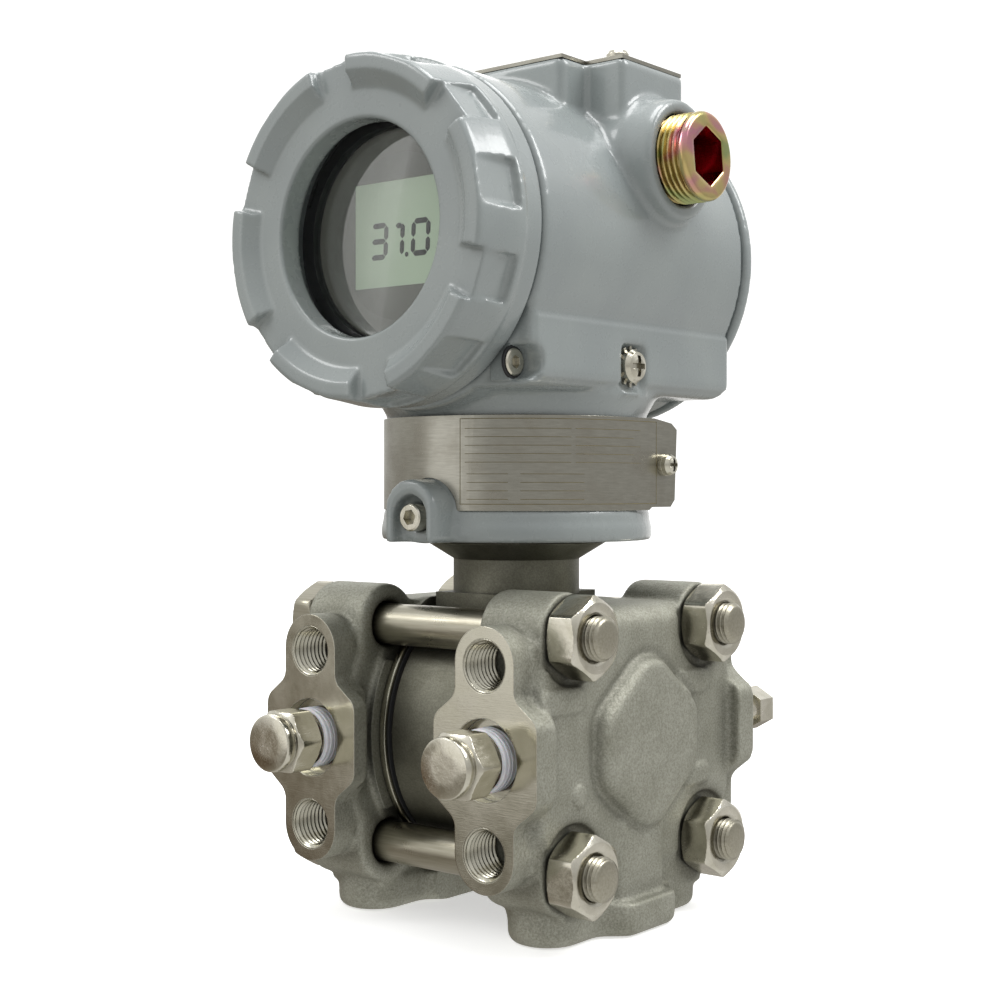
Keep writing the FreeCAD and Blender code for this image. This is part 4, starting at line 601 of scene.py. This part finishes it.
def along(axis, place):
    """A matrix that takes local Z to an axis, with its origin at a place in millimetres."""
    turn = {"X": Matrix.Rotation(math.pi / 2, 4, "Y"), "-X": Matrix.Rotation(-math.pi / 2, 4, "Y"),
            "Y": Matrix.Rotation(-math.pi / 2, 4, "X"), "-Y": Matrix.Rotation(math.pi / 2, 4, "X"),
            "Z": Matrix.Identity(4)}[axis]
    return Matrix.Translation(Vector(place) * MM) @ turn @ Matrix.Scale(MM, 4)


def ring_mesh(name, rings, material_of=None, closed=False, flip=False):
    """A skin over rings of equal counts; ends capped unless it closes on itself."""
    n = len(rings[0])
    co = [p for ring in rings for p in ring]
    faces, mats = [], []
    last = len(rings) if closed else len(rings) - 1
    for i in range(last):
        a, b = i * n, ((i + 1) % len(rings)) * n
        for k in range(n):
            l = (k + 1) % n
            faces.append((a + k, a + l, b + l, b + k))
            mats.append(material_of(i) if material_of else 0)
    if not closed:
        faces.append(tuple(range(n))[::-1])
        mats.append(material_of(0) if material_of else 0)
        faces.append(tuple((len(rings) - 1) * n + k for k in range(n)))
        mats.append(material_of(len(rings) - 2) if material_of else 0)
    if flip:
        faces = [f[::-1] for f in faces]
    mesh = from_arrays(name, co, faces)
    mesh.polygons.foreach_set("material_index", np.array(mats, np.int32))
    return mesh


def ring(r, z, n=64, phase=0.0):
    """r is a number or a function of the angle, z too."""
    out = []
    for k in range(n):
        a = 2 * math.pi * k / n + phase
        rr = r(a) if callable(r) else r
        zz = z(a) if callable(z) else z
        out.append((rr * math.cos(a), rr * math.sin(a), zz))
    return out


def helix(z, pitch, high, low):
    """Radius of a vee thread at height z, as a function of the angle."""
    def at(a):
        p = ((z / pitch) - a / (2 * math.pi)) % 1.0
        v = abs(2 * p - 1)
        v = min(max((v - 0.12) / 0.76, 0.0), 1.0)
        return low + (high - low) * v
    return at


def joined(meshes, name):
    bm = bmesh.new()
    for m in meshes:
        bm.from_mesh(m)
    out = bpy.data.meshes.new(name)
    bm.to_mesh(out)
    bm.free()
    return out


def oriented(mesh, matrix):
    mesh.transform(matrix)
    return mesh


def outward(mesh):
    bm = bmesh.new()
    bm.from_mesh(mesh)
    bmesh.ops.recalc_face_normals(bm, faces=bm.faces)
    bm.to_mesh(mesh)
    bm.free()
    return mesh


def tapped_liner(place, deep=10.9, pitch=1.27, high=5.62, low=4.98, axis="Y", mouth_r=6.02, n=56):
    """The thread in a tapped hole, as a closed sleeve: local Z runs into the hole."""
    rings = []
    steps = int(deep / pitch * 10)
    for i in range(steps + 1):
        z = 0.02 + (deep - 0.02) * i / steps
        mouth = mouth_r - z
        def at(a, z=z, mouth=mouth, base=helix(z, pitch, high, low)):
            return max(base(a), mouth)
        rings.append(ring(at, z, n))
    rings.append(ring(high + 0.12, deep, n))
    rings.append(ring(high + 0.12, mouth_r - high + 0.22, n))
    return oriented(ring_mesh("thread", rings, closed=True), along(axis, place))


liners = [tapped_liner((sx * 27.0, 0.0, tz)) for sx in (1, -1) for tz in TAP_Z]
liner = smooth(outward(joined(liners, "process_screw_threads")), 50)
link("process_screw_threads", liner, "wetted_body", "machined_steel")
liner = smooth(outward(tapped_liner((-42.45, 54.0, 137.2), 10.4, 1.81, 10.55, 9.75, "X", 11.0, 96)), 50)
link("conduit_entry_thread", liner, "housing", "machined_steel")


def hexagonal(r, phase, most=None):
    def at(a):
        v = r * math.cos(math.pi / 6) / math.cos(((a - phase) % (math.pi / 3)) - math.pi / 6)
        return min(v, most) if most else v
    return at


def corner_phase(node, axis, place, low, high):
    """The angle, about a local axis, of the hexagon corner that the solid shows between two stations along it."""
    inverse = along(axis, place).inverted()
    best, angle = 0.0, 0.0
    for v in NODES[node].data.vertices:
        p = inverse @ v.co
        r = math.hypot(p.x, p.y)
        if low < p.z < high and best + 0.01 < r < 12.0:
            best, angle = r, math.atan2(p.y, p.x)
    return angle


def hex_side(flats, high, phase, face, slope=0.577, n=96, bottom=0.0, soft=0.2):
    """Rings up the side of a hexagon whose two ends are turned to a cone."""
    r = flats / math.sqrt(3)
    shape = hexagonal(r, phase, r - soft)
    rings = []
    marks = [0.0, 0.1, 0.22, 0.36, 0.52, 0.7, 0.88, 1.05]
    for z in marks + [high - m for m in reversed(marks)]:
        depth = min(z, high - z)
        rings.append(ring(lambda a, d=depth: min(shape(a), face + d / slope), bottom + z, n))
    return rings


def make_nut(place, phase):
    high = 8.1
    rings = [ring(5.03, 0.0, 96)] + hex_side(17.0, high, phase, 7.9)
    rings += [ring(6.2, high + 0.01, 96), ring(5.95, high - 0.05, 96), ring(5.03, high - 0.62, 96)]
    return oriented(ring_mesh("nut", rings, closed=True), along("X", place))


def make_bolt(place, phase, turn):
    """Head, shank and the end of the thread; local Z runs along +X from under the head."""
    x, y, z = place
    head = [ring(0.4, 0.0, 96)]
    head += [[(px, py, pz) for px, py, pz in r] for r in hex_side(17.0, 7.0, phase, 7.9)]
    head += [ring(7.6, 7.02, 96), ring(3.0, 7.0, 96)]
    parts = [oriented(ring_mesh("head", head), along("-X", (-36.4, y, z)))]
    rings = [ring(4.99, -36.8, 48), ring(4.99, 34.0, 48), ring(4.45, 34.6, 48), ring(4.45, 43.2, 48)]
    pitch, steps = 1.15, 36
    for i in range(steps + 1):
        at = 43.3 + 3.4 * i / steps
        rings.append(ring(helix(at + turn, pitch, 5.0, 4.45), at, 48))
    for r, at in ((4.5, 46.8), (4.3, 47.02), (4.0, 47.16), (3.5, 47.27), (2.6, 47.35), (1.3, 47.39), (0.3, 47.4)):
        rings.append(ring(r, at, 48))
    parts.append(oriented(ring_mesh("shank", rings), along("X", (0, y, z))))
    return parts


bolt_parts, nut_parts = [], []
for k, (y, z) in enumerate(BOLT_YZ):
    nut_parts.append(make_nut((36.4, y, z), corner_phase("flange_nuts", "X", (36.4, y, z), 2.0, 6.0)))
    bolt_parts += make_bolt((0, y, z), corner_phase("flange_bolts", "-X", (-36.4, y, z), 2.0, 5.0), 0.3 * k)
bolts = smooth(outward(joined(bolt_parts, "flange_bolts_turned")), 40)
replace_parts(link("flange_bolts_turned", bolts, "wetted_body", "drawn_steel"), "flange_bolts")
nuts = smooth(outward(joined(nut_parts, "flange_nuts_turned")), 24)
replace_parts(link("flange_nuts_turned", nuts, "wetted_body", "bright_steel"), "flange_nuts")


def make_plug(tag, x):
    node = "process_plug_" + tag
    place = (x, -13.5, 0.0)
    phase = corner_phase(node, "Y", place, 5.0, 9.0)
    n = 96
    rings = [ring(0.3, 0.0, n)] + [ring(r, z, n) for r, z in (
        (3.0, 0.0), (6.0, 0.02), (6.4, 0.12), (6.65, 0.34), (6.75, 0.7), (6.75, 1.9), (6.68, 2.12), (6.42, 2.3),
        (6.2, 2.42), (6.16, 2.8), (6.2, 3.1))]
    rings += hex_side(14.0, 7.2, phase, 6.72, bottom=3.3)
    rings += [ring(6.1, 10.55, n), ring(5.95, 11.6, n), ring(6.0, 12.0, n)]
    for i in range(61):
        z = 12.0 + 10.5 * i / 60
        rings.append(ring(helix(z, 1.81, 6.58, 6.0), z, n))
    rings += [ring(5.6, 24.0, n), ring(0.4, 24.4, n)]
    mesh = smooth(outward(oriented(ring_mesh(node + "_turned", rings), along("Y", place))), 26)
    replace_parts(link(node + "_turned", mesh, "wetted_body", "bright_steel"), node)


make_plug("right", 27.0)
make_plug("left", -27.0)


def make_seat_rims():
    """The machined rim of each gasket seat, and a black ring in the seam beside it as painted shade where the seam
    lies in shadow.
    """
    parts, gap_shades = [], []
    for s in (1, -1):
        axis = "X" if s > 0 else "-X"
        rings = [ring(r, z, 128) for r, z in ((31.5, 14.12), (32.7, 14.1), (32.9, 14.2), (32.97, 14.4), (32.97, 15.7), (32.85, 15.86), (31.5, 15.96))]
        parts.append(oriented(ring_mesh("rim", rings, closed=True), along(axis, (0, 45.15, 0))))
        rings = [ring(r, z, 128) for r, z in ((30.9, 13.6), (31.9, 13.6), (32.05, 13.7), (32.05, 14.0), (31.9, 14.11), (30.9, 14.11))]
        gap_shades.append(oriented(ring_mesh("gap", rings, closed=True), along(axis, (0, 45.15, 0))))
    link("gasket_seat_rims", smooth(outward(joined(parts, "gasket_seat_rims")), 40), "wetted_body", "machined_steel")
    link("gasket_gap_shades", smooth(outward(joined(gap_shades, "gasket_gap_shades")), 40), "wetted_body", "black_rubber")


make_seat_rims()


def make_lock_seats():
    """The small cast bosses the cover lock screws sit in."""
    parts = []
    for sign, y, x in ((1, 6.9, 29.3), (-1, 83.4, 29.3)):
        rings = [ring(r, z, 64) for r, z in ((0.4, x - 5.0), (4.1, x - 5.0), (4.3, x - 4.0), (4.3, x + 0.1), (4.2, x + 0.42),
                                            (4.0, x + 0.5), (3.76, x + 0.42), (3.74, x - 0.1), (0.4, x - 0.12))]
        mesh = oriented(ring_mesh("seat", rings), along("X" if sign > 0 else "-X", (0, y, 87.25)))
        for v in mesh.vertices:
            v.co.y = min(max(v.co.y, 5.45 * MM), 86.9 * MM)
        parts.append(mesh)
    link("lock_screw_seats", smooth(outward(joined(parts, "lock_screw_seats")), 35), "housing", "grey_paint")


make_lock_seats()


# ---------------------------------------------------------------- PTFE tape in the process ports

def tape(tag, x, seed):
    rng = np.random.default_rng(seed)
    n, rows = 72, 44
    lump = rng.normal(0, 1, (rows, n))
    for _ in range(4):
        lump = (lump + np.roll(lump, 1, 1) + np.roll(lump, -1, 1)) / 3
    rings = [ring(6.62, -1.75, n)]
    for i in range(rows):
        z = -1.72 + 5.2 * i / (rows - 1)
        def at(a, z=z, i=i):
            k = int(round(a / (2 * math.pi) * n)) % n
            p = (z / 1.25 - a / (2 * math.pi)) % 1.0
            step = 0.2 * (1 - p) ** 0.6
            edge = 0.25 * ramp01(np.array(abs(z - 0.9)), 1.9, 2.7)
            return 6.95 + step + 0.06 * lump[i, k] - float(edge)
        rings.append(ring(at, z, n))
    rings.append(ring(6.62, 3.5, n))
    mesh = ring_mesh("process_tape_" + tag, rings, closed=True)
    mesh = smooth(outward(oriented(mesh, along("Y", (x, 0, 0)))), 60)
    obj = link("process_tape_" + tag, mesh, "wetted_body", "white_tape")
    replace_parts(obj, "thread_tape_" + tag)


tape("right", 27.0, 5)
tape("left", -27.0, 8)


# ---------------------------------------------------------------- conduit plug

def make_conduit_plug():
    n = 96
    pitch, phase = 1.42, math.radians(8)
    rings = [ring(8.6, 0.0, n), ring(9.4, 0.05, n)]
    steps = 110
    for i in range(steps + 1):
        z = 0.6 + 15.6 * i / steps
        fade = float(ramp01(np.array(z), 0.6, 1.6))
        rings.append(ring(helix(z, pitch, 9.5 + 1.06 * fade, 9.62), z, n))
    for r, z in ((9.66, 16.32), (9.66, 16.62), (10.1, 16.8), (10.45, 17.0), (10.5, 17.3), (10.42, 17.8), (10.2, 18.2),
                 (9.9, 18.42), (9.55, 18.52), (9.2, 18.56)):
        rings.append(ring(r, z, n))
    hexa = hexagonal(7.05, phase)
    rings.append(ring(lambda a: 0.35 * 9.2 + 0.65 * hexa(a) + 0.15, 18.56, n))
    socket_from = len(rings) - 1
    for k, z in ((1.03, 18.54), (1.0, 18.4), (0.985, 18.0), (0.985, 10.4), (0.97, 10.2)):
        rings.append(ring(lambda a, k=k: k * hexa(a), z, n))
    rings.append(ring(4.4, 9.9, n))
    rings.append(ring(0.4, 8.9, n))
    mesh = ring_mesh("conduit_plug_turned", rings, lambda i: 1 if i >= socket_from + 2 else 0)
    mesh = smooth(outward(oriented(mesh, along("X", (31.94, 54.0, 137.2)))), 38)
    obj = link("conduit_plug_turned", mesh, "housing", ["yellow_zinc", "zinc_socket"])
    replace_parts(obj, "conduit_plug")


make_conduit_plug()


# ---------------------------------------------------------------- painted castings

def make_housing():
    node = "housing_body"
    mesh = voxel_mesh(node, 0.77)
    co, edges = arrays(mesh)
    co *= 1000
    x, y, z = co[:, 0], co[:, 1], co[:, 2]
    r = np.hypot(x, z - 117.3)
    w = np.full(len(co), 0.5)
    w *= ramp01(np.hypot(y - 54, z - 137.2), 11.2, 12.6) * (np.abs(x) > 30) + (np.abs(x) <= 30)
    w *= 1 - 0.8 * ((r > 33) & (r < 38.6) & ((y < 6.5) | (y > 86.5)))
    w *= 1 - 0.7 * ((np.hypot(x, y - 45.15) < 32.6) & (z < 77.5) & (z > 53.5))
    w *= 0.25 + 0.75 * ramp01(np.hypot(y - 45.15, z - 88.2), 7.5, 9.0)
    w *= 1 - 0.75 * ((r > 40.4) & (z > 128) & (np.hypot(y - 54, z - 137.2) > 17.5))
    w *= 0.3 + 0.7 * ramp01(np.hypot(y - 6.9, z - 87.2), 6.0, 8.0)
    co = relaxed(co, edges, w, 3)
    x, y, z = co[:, 0], co[:, 1], co[:, 2]
    proud = ramp01(np.abs(x), 34.3, 34.7) * (1 - ramp01(z, 97.4, 97.9)) * ramp01(y, 7.6, 8.2) * (z > 81.0)
    co[:, 0] += np.sign(x) * 0.55 * proud
    mesh.vertices.foreach_set("co", (co / 1000).astype(np.float32).ravel())
    neck = np.hypot(x, y - 45.15)
    inside = ((r < 36.0) & (y > 7.5) & (y < 85.4)) | ((neck < 27.0) & (z < 84) & (z > 51))
    inside |= (np.hypot(y - 54, z - 137.2) < 11.1) & (np.abs(x) < 41.0)
    drop(mesh, ~inside)
    skin = bmesh.new()
    skin.from_mesh(mesh)
    for f in skin.faces:
        f.smooth = True
    bm = welded(node)
    gone = []
    for f in bm.faces:
        c = f.calc_center_median() * 1000
        rr, nn = math.hypot(c.x, c.z - 117.3), math.hypot(c.x, c.y - 45.15)
        keep = (rr < 36.6 and 6.0 < c.y < 86.9) or (nn < 31.0 and 49.5 < c.z < 90) or (
            math.hypot(c.y - 54, c.z - 137.2) < 11.3 and abs(c.x) < 42.6)
        f.smooth = True
        if not keep:
            gone.append(f)
    for e in bm.edges:
        if len(e.link_faces) == 2 and e.calc_face_angle(0) > math.radians(30):
            e.smooth = False
    bmesh.ops.delete(bm, geom=gone, context="FACES")
    skin.to_mesh(mesh)
    skin.free()
    bm.from_mesh(mesh)
    whole = bpy.data.meshes.new("housing_casting")
    bm.to_mesh(whole)
    bm.free()
    obj = link("housing_casting", whole, "housing", "grey_paint")
    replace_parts(obj, node)


def turned_edge(co, r0, y0, rho, side):
    """The points near a turned inner edge, set on one fillet about (r0, y0)."""
    r = np.hypot(co[:, 0], co[:, 2] - 117.3)
    dr, dy = r - r0, co[:, 1] - y0
    far = np.hypot(dr, dy)
    near = (dr < 0) & (dy * side > 0) & (far > 0.3 * rho) & (far < 1.5 * rho)
    k = rho / far[near]
    pull = (r0 + dr[near] * k) / r[near]
    co[near, 0] *= pull
    co[near, 2] = 117.3 + (co[near, 2] - 117.3) * pull
    co[near, 1] = y0 + dy[near] * k
    return co


def make_soft(node, body, voxel, passes, name, weight, material="grey_paint", turned=()):
    mesh = voxel_mesh(node, voxel)
    co, edges = arrays(mesh)
    co *= 1000
    co = relaxed(co, edges, weight(co[:, 0], co[:, 1], co[:, 2]), passes)
    for edge in turned:
        co = turned_edge(co, *edge)
    mesh.vertices.foreach_set("co", (co / 1000).astype(np.float32).ravel())
    smooth(mesh)
    obj = link(name, mesh, body, material)
    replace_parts(obj, node)
    return obj


def cover_weight(x, y, z):
    r = np.hypot(x, z - 117.3)
    w = 0.5 * ramp01(r, 24.6, 25.8)
    w *= 1 - 0.9 * (r < 34.5) * (y > -13.0)
    return w


def rear_weight(x, y, z):
    r = np.hypot(x, z - 117.3)
    return 0.5 * (1 - 0.9 * (r < 38.0) * (y < 87.6))


make_housing()
make_soft("display_cover", "front_cover", 0.5, 2, "display_cover_casting", cover_weight,
          turned=((25.1, -11.3, 0.8, -1), (24.9, -6.5, 0.6, 1)))
make_soft("rear_cover", "rear_cap", 0.65, 5, "rear_cover_casting", rear_weight)


# ---------------------------------------------------------------- softened edges on the small hardware

def rounded_copy(node, body, material, width, angle=33, segments=2):
    bm = welded(node)
    bmesh.ops.dissolve_limit(bm, angle_limit=math.radians(0.6), verts=bm.verts, edges=bm.edges)
    mesh = bpy.data.meshes.new(node + "_finished")
    bm.to_mesh(mesh)
    bm.free()
    smooth(mesh, angle)
    obj = link(node + "_finished", mesh, body, material)
    mod = obj.modifiers.new("edges", "BEVEL")
    mod.width = width * MM
    mod.segments = segments
    mod.limit_method = "ANGLE"
    mod.angle_limit = math.radians(angle)
    mod.use_clamp_overlap = True
    mod.harden_normals = True
    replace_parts(obj, node)
    return obj


for node, body, material, width in (
        ("vent_body_right", "wetted_body", "bright_steel", 0.22),
        ("vent_body_left", "wetted_body", "bright_steel", 0.22),
        ("label_band", "housing", "band_steel", 0.12)):
    rounded_copy(node, body, material, width)


# ---------------------------------------------------------------- etched frame on the label band

def band_strip(a0, a1, z0, z1, r0=32.9, r1=32.975):
    """A thin curved bar on the band between two angles in degrees."""
    steps = max(1, int(abs(a1 - a0) / 1.5))
    rings = []
    for i in range(steps + 1):
        a = math.radians(a0 + (a1 - a0) * i / steps)
        s, c = math.sin(a), -math.cos(a)
        rings.append([(r * s, 45.15 + r * c, z) for r, z in ((r0, z0), (r1, z0), (r1, z1), (r0, z1))])
        if a0 + (a1 - a0) * i / steps > 90:
            y = 45.15 + 32.95 * (a - math.pi / 2)
            rings[-1] = [(r, y, z) for r, z in ((r0, z0), (r1, z0), (r1, z1), (r0, z1))]
    return rings


def make_band_marks():
    parts = []
    a0, a1, low, high = 15.2, 113.0, 55.7, 75.6
    line = 0.16
    degree = line / 32.95 * 57.3
    bars = [(a0, a1, low, low + line), (a0, a1, high - line, high),
            (a0, a0 + degree, low, high), (a1 - degree, a1, low, high)]
    for k in range(5):
        z = high - 2.4 - 1.95 * k
        for b0, b1 in ((a0 + 2.2, a0 + 46.0), (a0 + 48.0, a1 - 12.0 - (5.0 * (k % 2)))):
            bars.append((b0, b1, z, z + 0.12))
    for k in range(4):
        z = high - 12.9 - 1.95 * k
        bars.append((a0 + 3.0, a0 + 20.0, z, z + 0.12))
        bars.append((a0 + 25.0, a0 + 52.0, z, z + 0.12))
    for b in bars:
        m = ring_mesh("bar", band_strip(*b))
        parts.append(m)
    mesh = joined(parts, "label_band_etching")
    mesh.transform(Matrix.Scale(MM, 4))
    outward(mesh)
    link("label_band_etching", mesh, "housing", "etched")


make_band_marks()


# ---------------------------------------------------------------- liquid crystal display

def segment_bar(p, q, width, lean, cx, cz, y0=2.66, y1=2.74):
    """A seven-segment stroke from p to q, pointed at both ends."""
    (x0, z0), (x1, z1) = p, q
    dx, dz = x1 - x0, z1 - z0
    length = math.hypot(dx, dz)
    ux, uz = dx / length, dz / length
    h, gap = width / 2, 0.14
    pts = [(x0 + ux * gap, z0 + uz * gap)]
    pts.append((x0 + ux * (gap + h) - uz * h, z0 + uz * (gap + h) + ux * h))
    pts.append((x1 - ux * (gap + h) - uz * h, z1 - uz * (gap + h) + ux * h))
    pts.append((x1 - ux * gap, z1 - uz * gap))
    pts.append((x1 - ux * (gap + h) + uz * h, z1 - uz * (gap + h) - ux * h))
    pts.append((x0 + ux * (gap + h) + uz * h, z0 + uz * (gap + h) - ux * h))
    pts = [(cx + x + lean * z, cz + z) for x, z in pts]
    return ring_mesh("bar", [[(x, y0, z) for x, z in pts], [(x, y1, z) for x, z in pts]])


def make_digits():
    w, h, thick, lean = 4.5, 7.3, 1.24, 0.05
    P = {"a": ((0, h), (w, h)), "b": ((w, h), (w, h / 2)), "c": ((w, h / 2), (w, 0)), "d": ((0, 0), (w, 0)),
         "e": ((0, h / 2), (0, 0)), "f": ((0, h), (0, h / 2)), "g": ((0, h / 2), (w, h / 2))}
    parts = []
    P["h"] = ((w - 2.3, h - 0.5), (w, h - 0.5))
    for glyph, cx in (("abcdg", -9.4), ("bch", -4.3), ("abcdef", 3.6)):
        for s in glyph:
            parts.append(segment_bar(*P[s], thick, lean, cx, 112.95))
    dot = [(1.75 + 0.55 * math.cos(a), 112.95 + 0.55 * math.sin(a)) for a in [2 * math.pi * k / 16 for k in range(16)]]
    parts.append(ring_mesh("dot", [[(x, 2.66, z) for x, z in dot], [(x, 2.74, z) for x, z in dot]]))
    mesh = joined(parts, "display_digits")
    mesh.transform(Matrix.Scale(MM, 4))
    outward(mesh)
    link("display_digits", mesh, "housing", "segment")


make_digits()

# ---------------------------------------------------------------- stage, light, camera

def plain(name, colour, rough, size):
    t = Tree(name)
    fine = t.noise(size, 3.0, 0.5)
    low = tuple(c * 0.985 for c in colour[:3]) + (1.0,)
    t.principled(Base_Color=t.mix(t.span(fine, 0.3, 0.7), low, colour), Roughness=rough,
                 Emission_Color=(1, 1, 1, 1), Emission_Strength=0.5)
    return t.mat


def make_stage():
    """A pale floor that turns up into a round backdrop and closes overhead."""
    floor_z = FRAME_BOX[0][2]
    n, wide, bend, high = 96, 3.2, 0.9, 3.4
    profile = [(0.000001, 0.0), (0.5, 0.0), (1.2, 0.0), (wide, 0.0)]
    profile += [(wide + bend * math.sin(a), bend * (1 - math.cos(a))) for a in [math.pi / 2 * i / 16 for i in range(1, 17)]]
    profile.append((wide + bend, high))
    profile += [((wide + bend) * math.cos(a), high + 1.5 * math.sin(a)) for a in [math.pi / 2 * i / 16 for i in range(1, 16)]]
    profile.append((0.000001, high + 1.5))
    co, faces = [], []
    for out, up in profile:
        for k in range(n):
            a = 2 * math.pi * k / n
            co.append((out * math.cos(a), 0.045 + out * math.sin(a), floor_z - 0.00003 + up))
    for i in range(len(profile) - 1):
        for k in range(n):
            j = (k + 1) % n
            faces.append((i * n + k, i * n + j, (i + 1) * n + j, (i + 1) * n + k))
    mesh = smooth(from_arrays("studio_floor", co, faces))
    mesh.materials.append(plain("studio_floor", (0.9, 0.9, 0.9, 1.0), 0.9, 40.0))
    floor = bpy.data.objects.new("studio_floor", mesh)
    floor.visible_glossy = False
    floor.visible_diffuse = False
    floor.visible_shadow = False
    floor.visible_transmission = False
    bpy.context.scene.collection.objects.link(floor)


def soft_light(name, place, aim, size, watts, colour=(1, 1, 1)):
    data = bpy.data.lights.new(name, "AREA")
    data.shape = "RECTANGLE"
    data.size, data.size_y = size
    data.energy = watts
    data.color = colour
    obj = bpy.data.objects.new(name, data)
    bpy.context.scene.collection.objects.link(obj)
    obj.location = place
    obj.rotation_euler = (Vector(aim) - Vector(place)).to_track_quat("-Z", "Y").to_euler()
    return obj


make_stage()
CENTRE = (0.0, 0.045, 0.06)
soft_light("over", (0.10, 0.05, 0.85), CENTRE, (0.5, 0.4), 3.6)
soft_light("right", (0.66, 0.50, 0.80), CENTRE, (0.45, 0.45), 4.8)
soft_light("front", (-0.66, -0.70, 0.86), CENTRE, (0.45, 0.45), 2.8)
soft_light("rim", (-0.75, 0.7, 0.6), CENTRE, (0.5, 0.5), 0.9)


def make_world():
    """A soft studio: bright above, a pale table to the right and a darker warm one to the left of the object."""
    world = bpy.data.worlds.new("studio")
    bpy.context.scene.world = world
    world.use_nodes = True
    t = world.node_tree
    back = t.nodes["Background"]
    co = t.nodes.new("ShaderNodeTexCoord").outputs["Generated"]
    axes = t.nodes.new("ShaderNodeSeparateXYZ")
    t.links.new(co, axes.inputs[0])

    def span(socket, low, high, to_low, to_high):
        node = t.nodes.new("ShaderNodeMapRange")
        t.links.new(socket, node.inputs["Value"])
        for key, value in (("From Min", low), ("From Max", high), ("To Min", to_low), ("To Max", to_high)):
            node.inputs[key].default_value = value
        return node.outputs[0]

    def ramp(socket, stops):
        node = t.nodes.new("ShaderNodeValToRGB")
        t.links.new(socket, node.inputs["Fac"])
        bar = node.color_ramp.elements
        while len(bar) < len(stops):
            bar.new(0.5)
        for element, (at, colour) in zip(bar, stops):
            element.position = at
            element.color = (*colour, 1)
        return node.outputs[0]

    up = span(axes.outputs["Z"], -1.0, 1.0, 0.0, 1.0)
    far = ramp(up, [(0.0, (0.50, 0.48, 0.45)), (0.30, (0.24, 0.20, 0.15)), (0.385, (0.11, 0.072, 0.044)), (0.42, (0.24, 0.20, 0.155)),
                    (0.47, (0.26, 0.235, 0.20)), (0.505, (0.66, 0.65, 0.62)), (0.62, (0.90, 0.90, 0.88)), (1.0, (0.95, 0.95, 0.95))])
    left = ramp(up, [(0.0, (0.60, 0.58, 0.55)), (0.30, (0.38, 0.36, 0.32)), (0.388, (0.22, 0.20, 0.17)), (0.408, (0.46, 0.44, 0.41)),
                     (0.43, (1.15, 1.13, 1.09)), (0.51, (1.25, 1.24, 1.22)), (0.70, (1.20, 1.20, 1.18)), (1.0, (0.95, 0.95, 0.95))])
    right = ramp(up, [(0.0, (0.85, 0.85, 0.83)), (0.35, (0.80, 0.79, 0.77)), (0.47, (0.52, 0.51, 0.49)),
                      (0.56, (0.56, 0.56, 0.55)), (0.72, (0.80, 0.80, 0.80)), (1.0, (0.95, 0.95, 0.95))])

    def blended(factor, one, two):
        node = t.nodes.new("ShaderNodeMix")
        node.data_type = "RGBA"
        t.links.new(factor, node.inputs[0])
        t.links.new(one, node.inputs[6])
        t.links.new(two, node.inputs[7])
        return node.outputs[2]

    near_left = blended(span(axes.outputs["X"], -0.705, -0.66, 0.0, 1.0), far, left)
    both = blended(span(axes.outputs["X"], -0.25, 0.25, 0.0, 1.0), near_left, right)
    t.links.new(both, back.inputs["Color"])
    back.inputs["Strength"].default_value = 0.92


make_world()

cam_data = bpy.data.cameras.new("camera")
cam_data.sensor_width = 36.0
cam_data.lens = 1650.737 / 1000.0 * 36.0
cam_data.shift_x = (500.0 - 493.605) / 1000.0
cam_data.shift_y = (496.353 - 500.0) / 1000.0
cam_data.clip_start = 0.01
cam_data.clip_end = 20.0
camera = bpy.data.objects.new("camera", cam_data)
bpy.context.scene.collection.objects.link(camera)
RIGHT = Vector((0.772544386, 0.634960468, 0.000613515))
UP = Vector((-0.00385298, 0.00372164, 0.99998565))
BACK = Vector((0.63494907, -0.77253566, 0.00532163))
turned = Matrix((RIGHT, UP, BACK)).transposed().to_4x4()
camera.matrix_world = Matrix.Translation((0.25696062, -0.27645039, 0.05961121)) @ turned
bpy.context.scene.camera = camera
bpy.context.scene.view_settings.view_transform = "Standard"
bpy.context.scene.view_settings.look = "None"
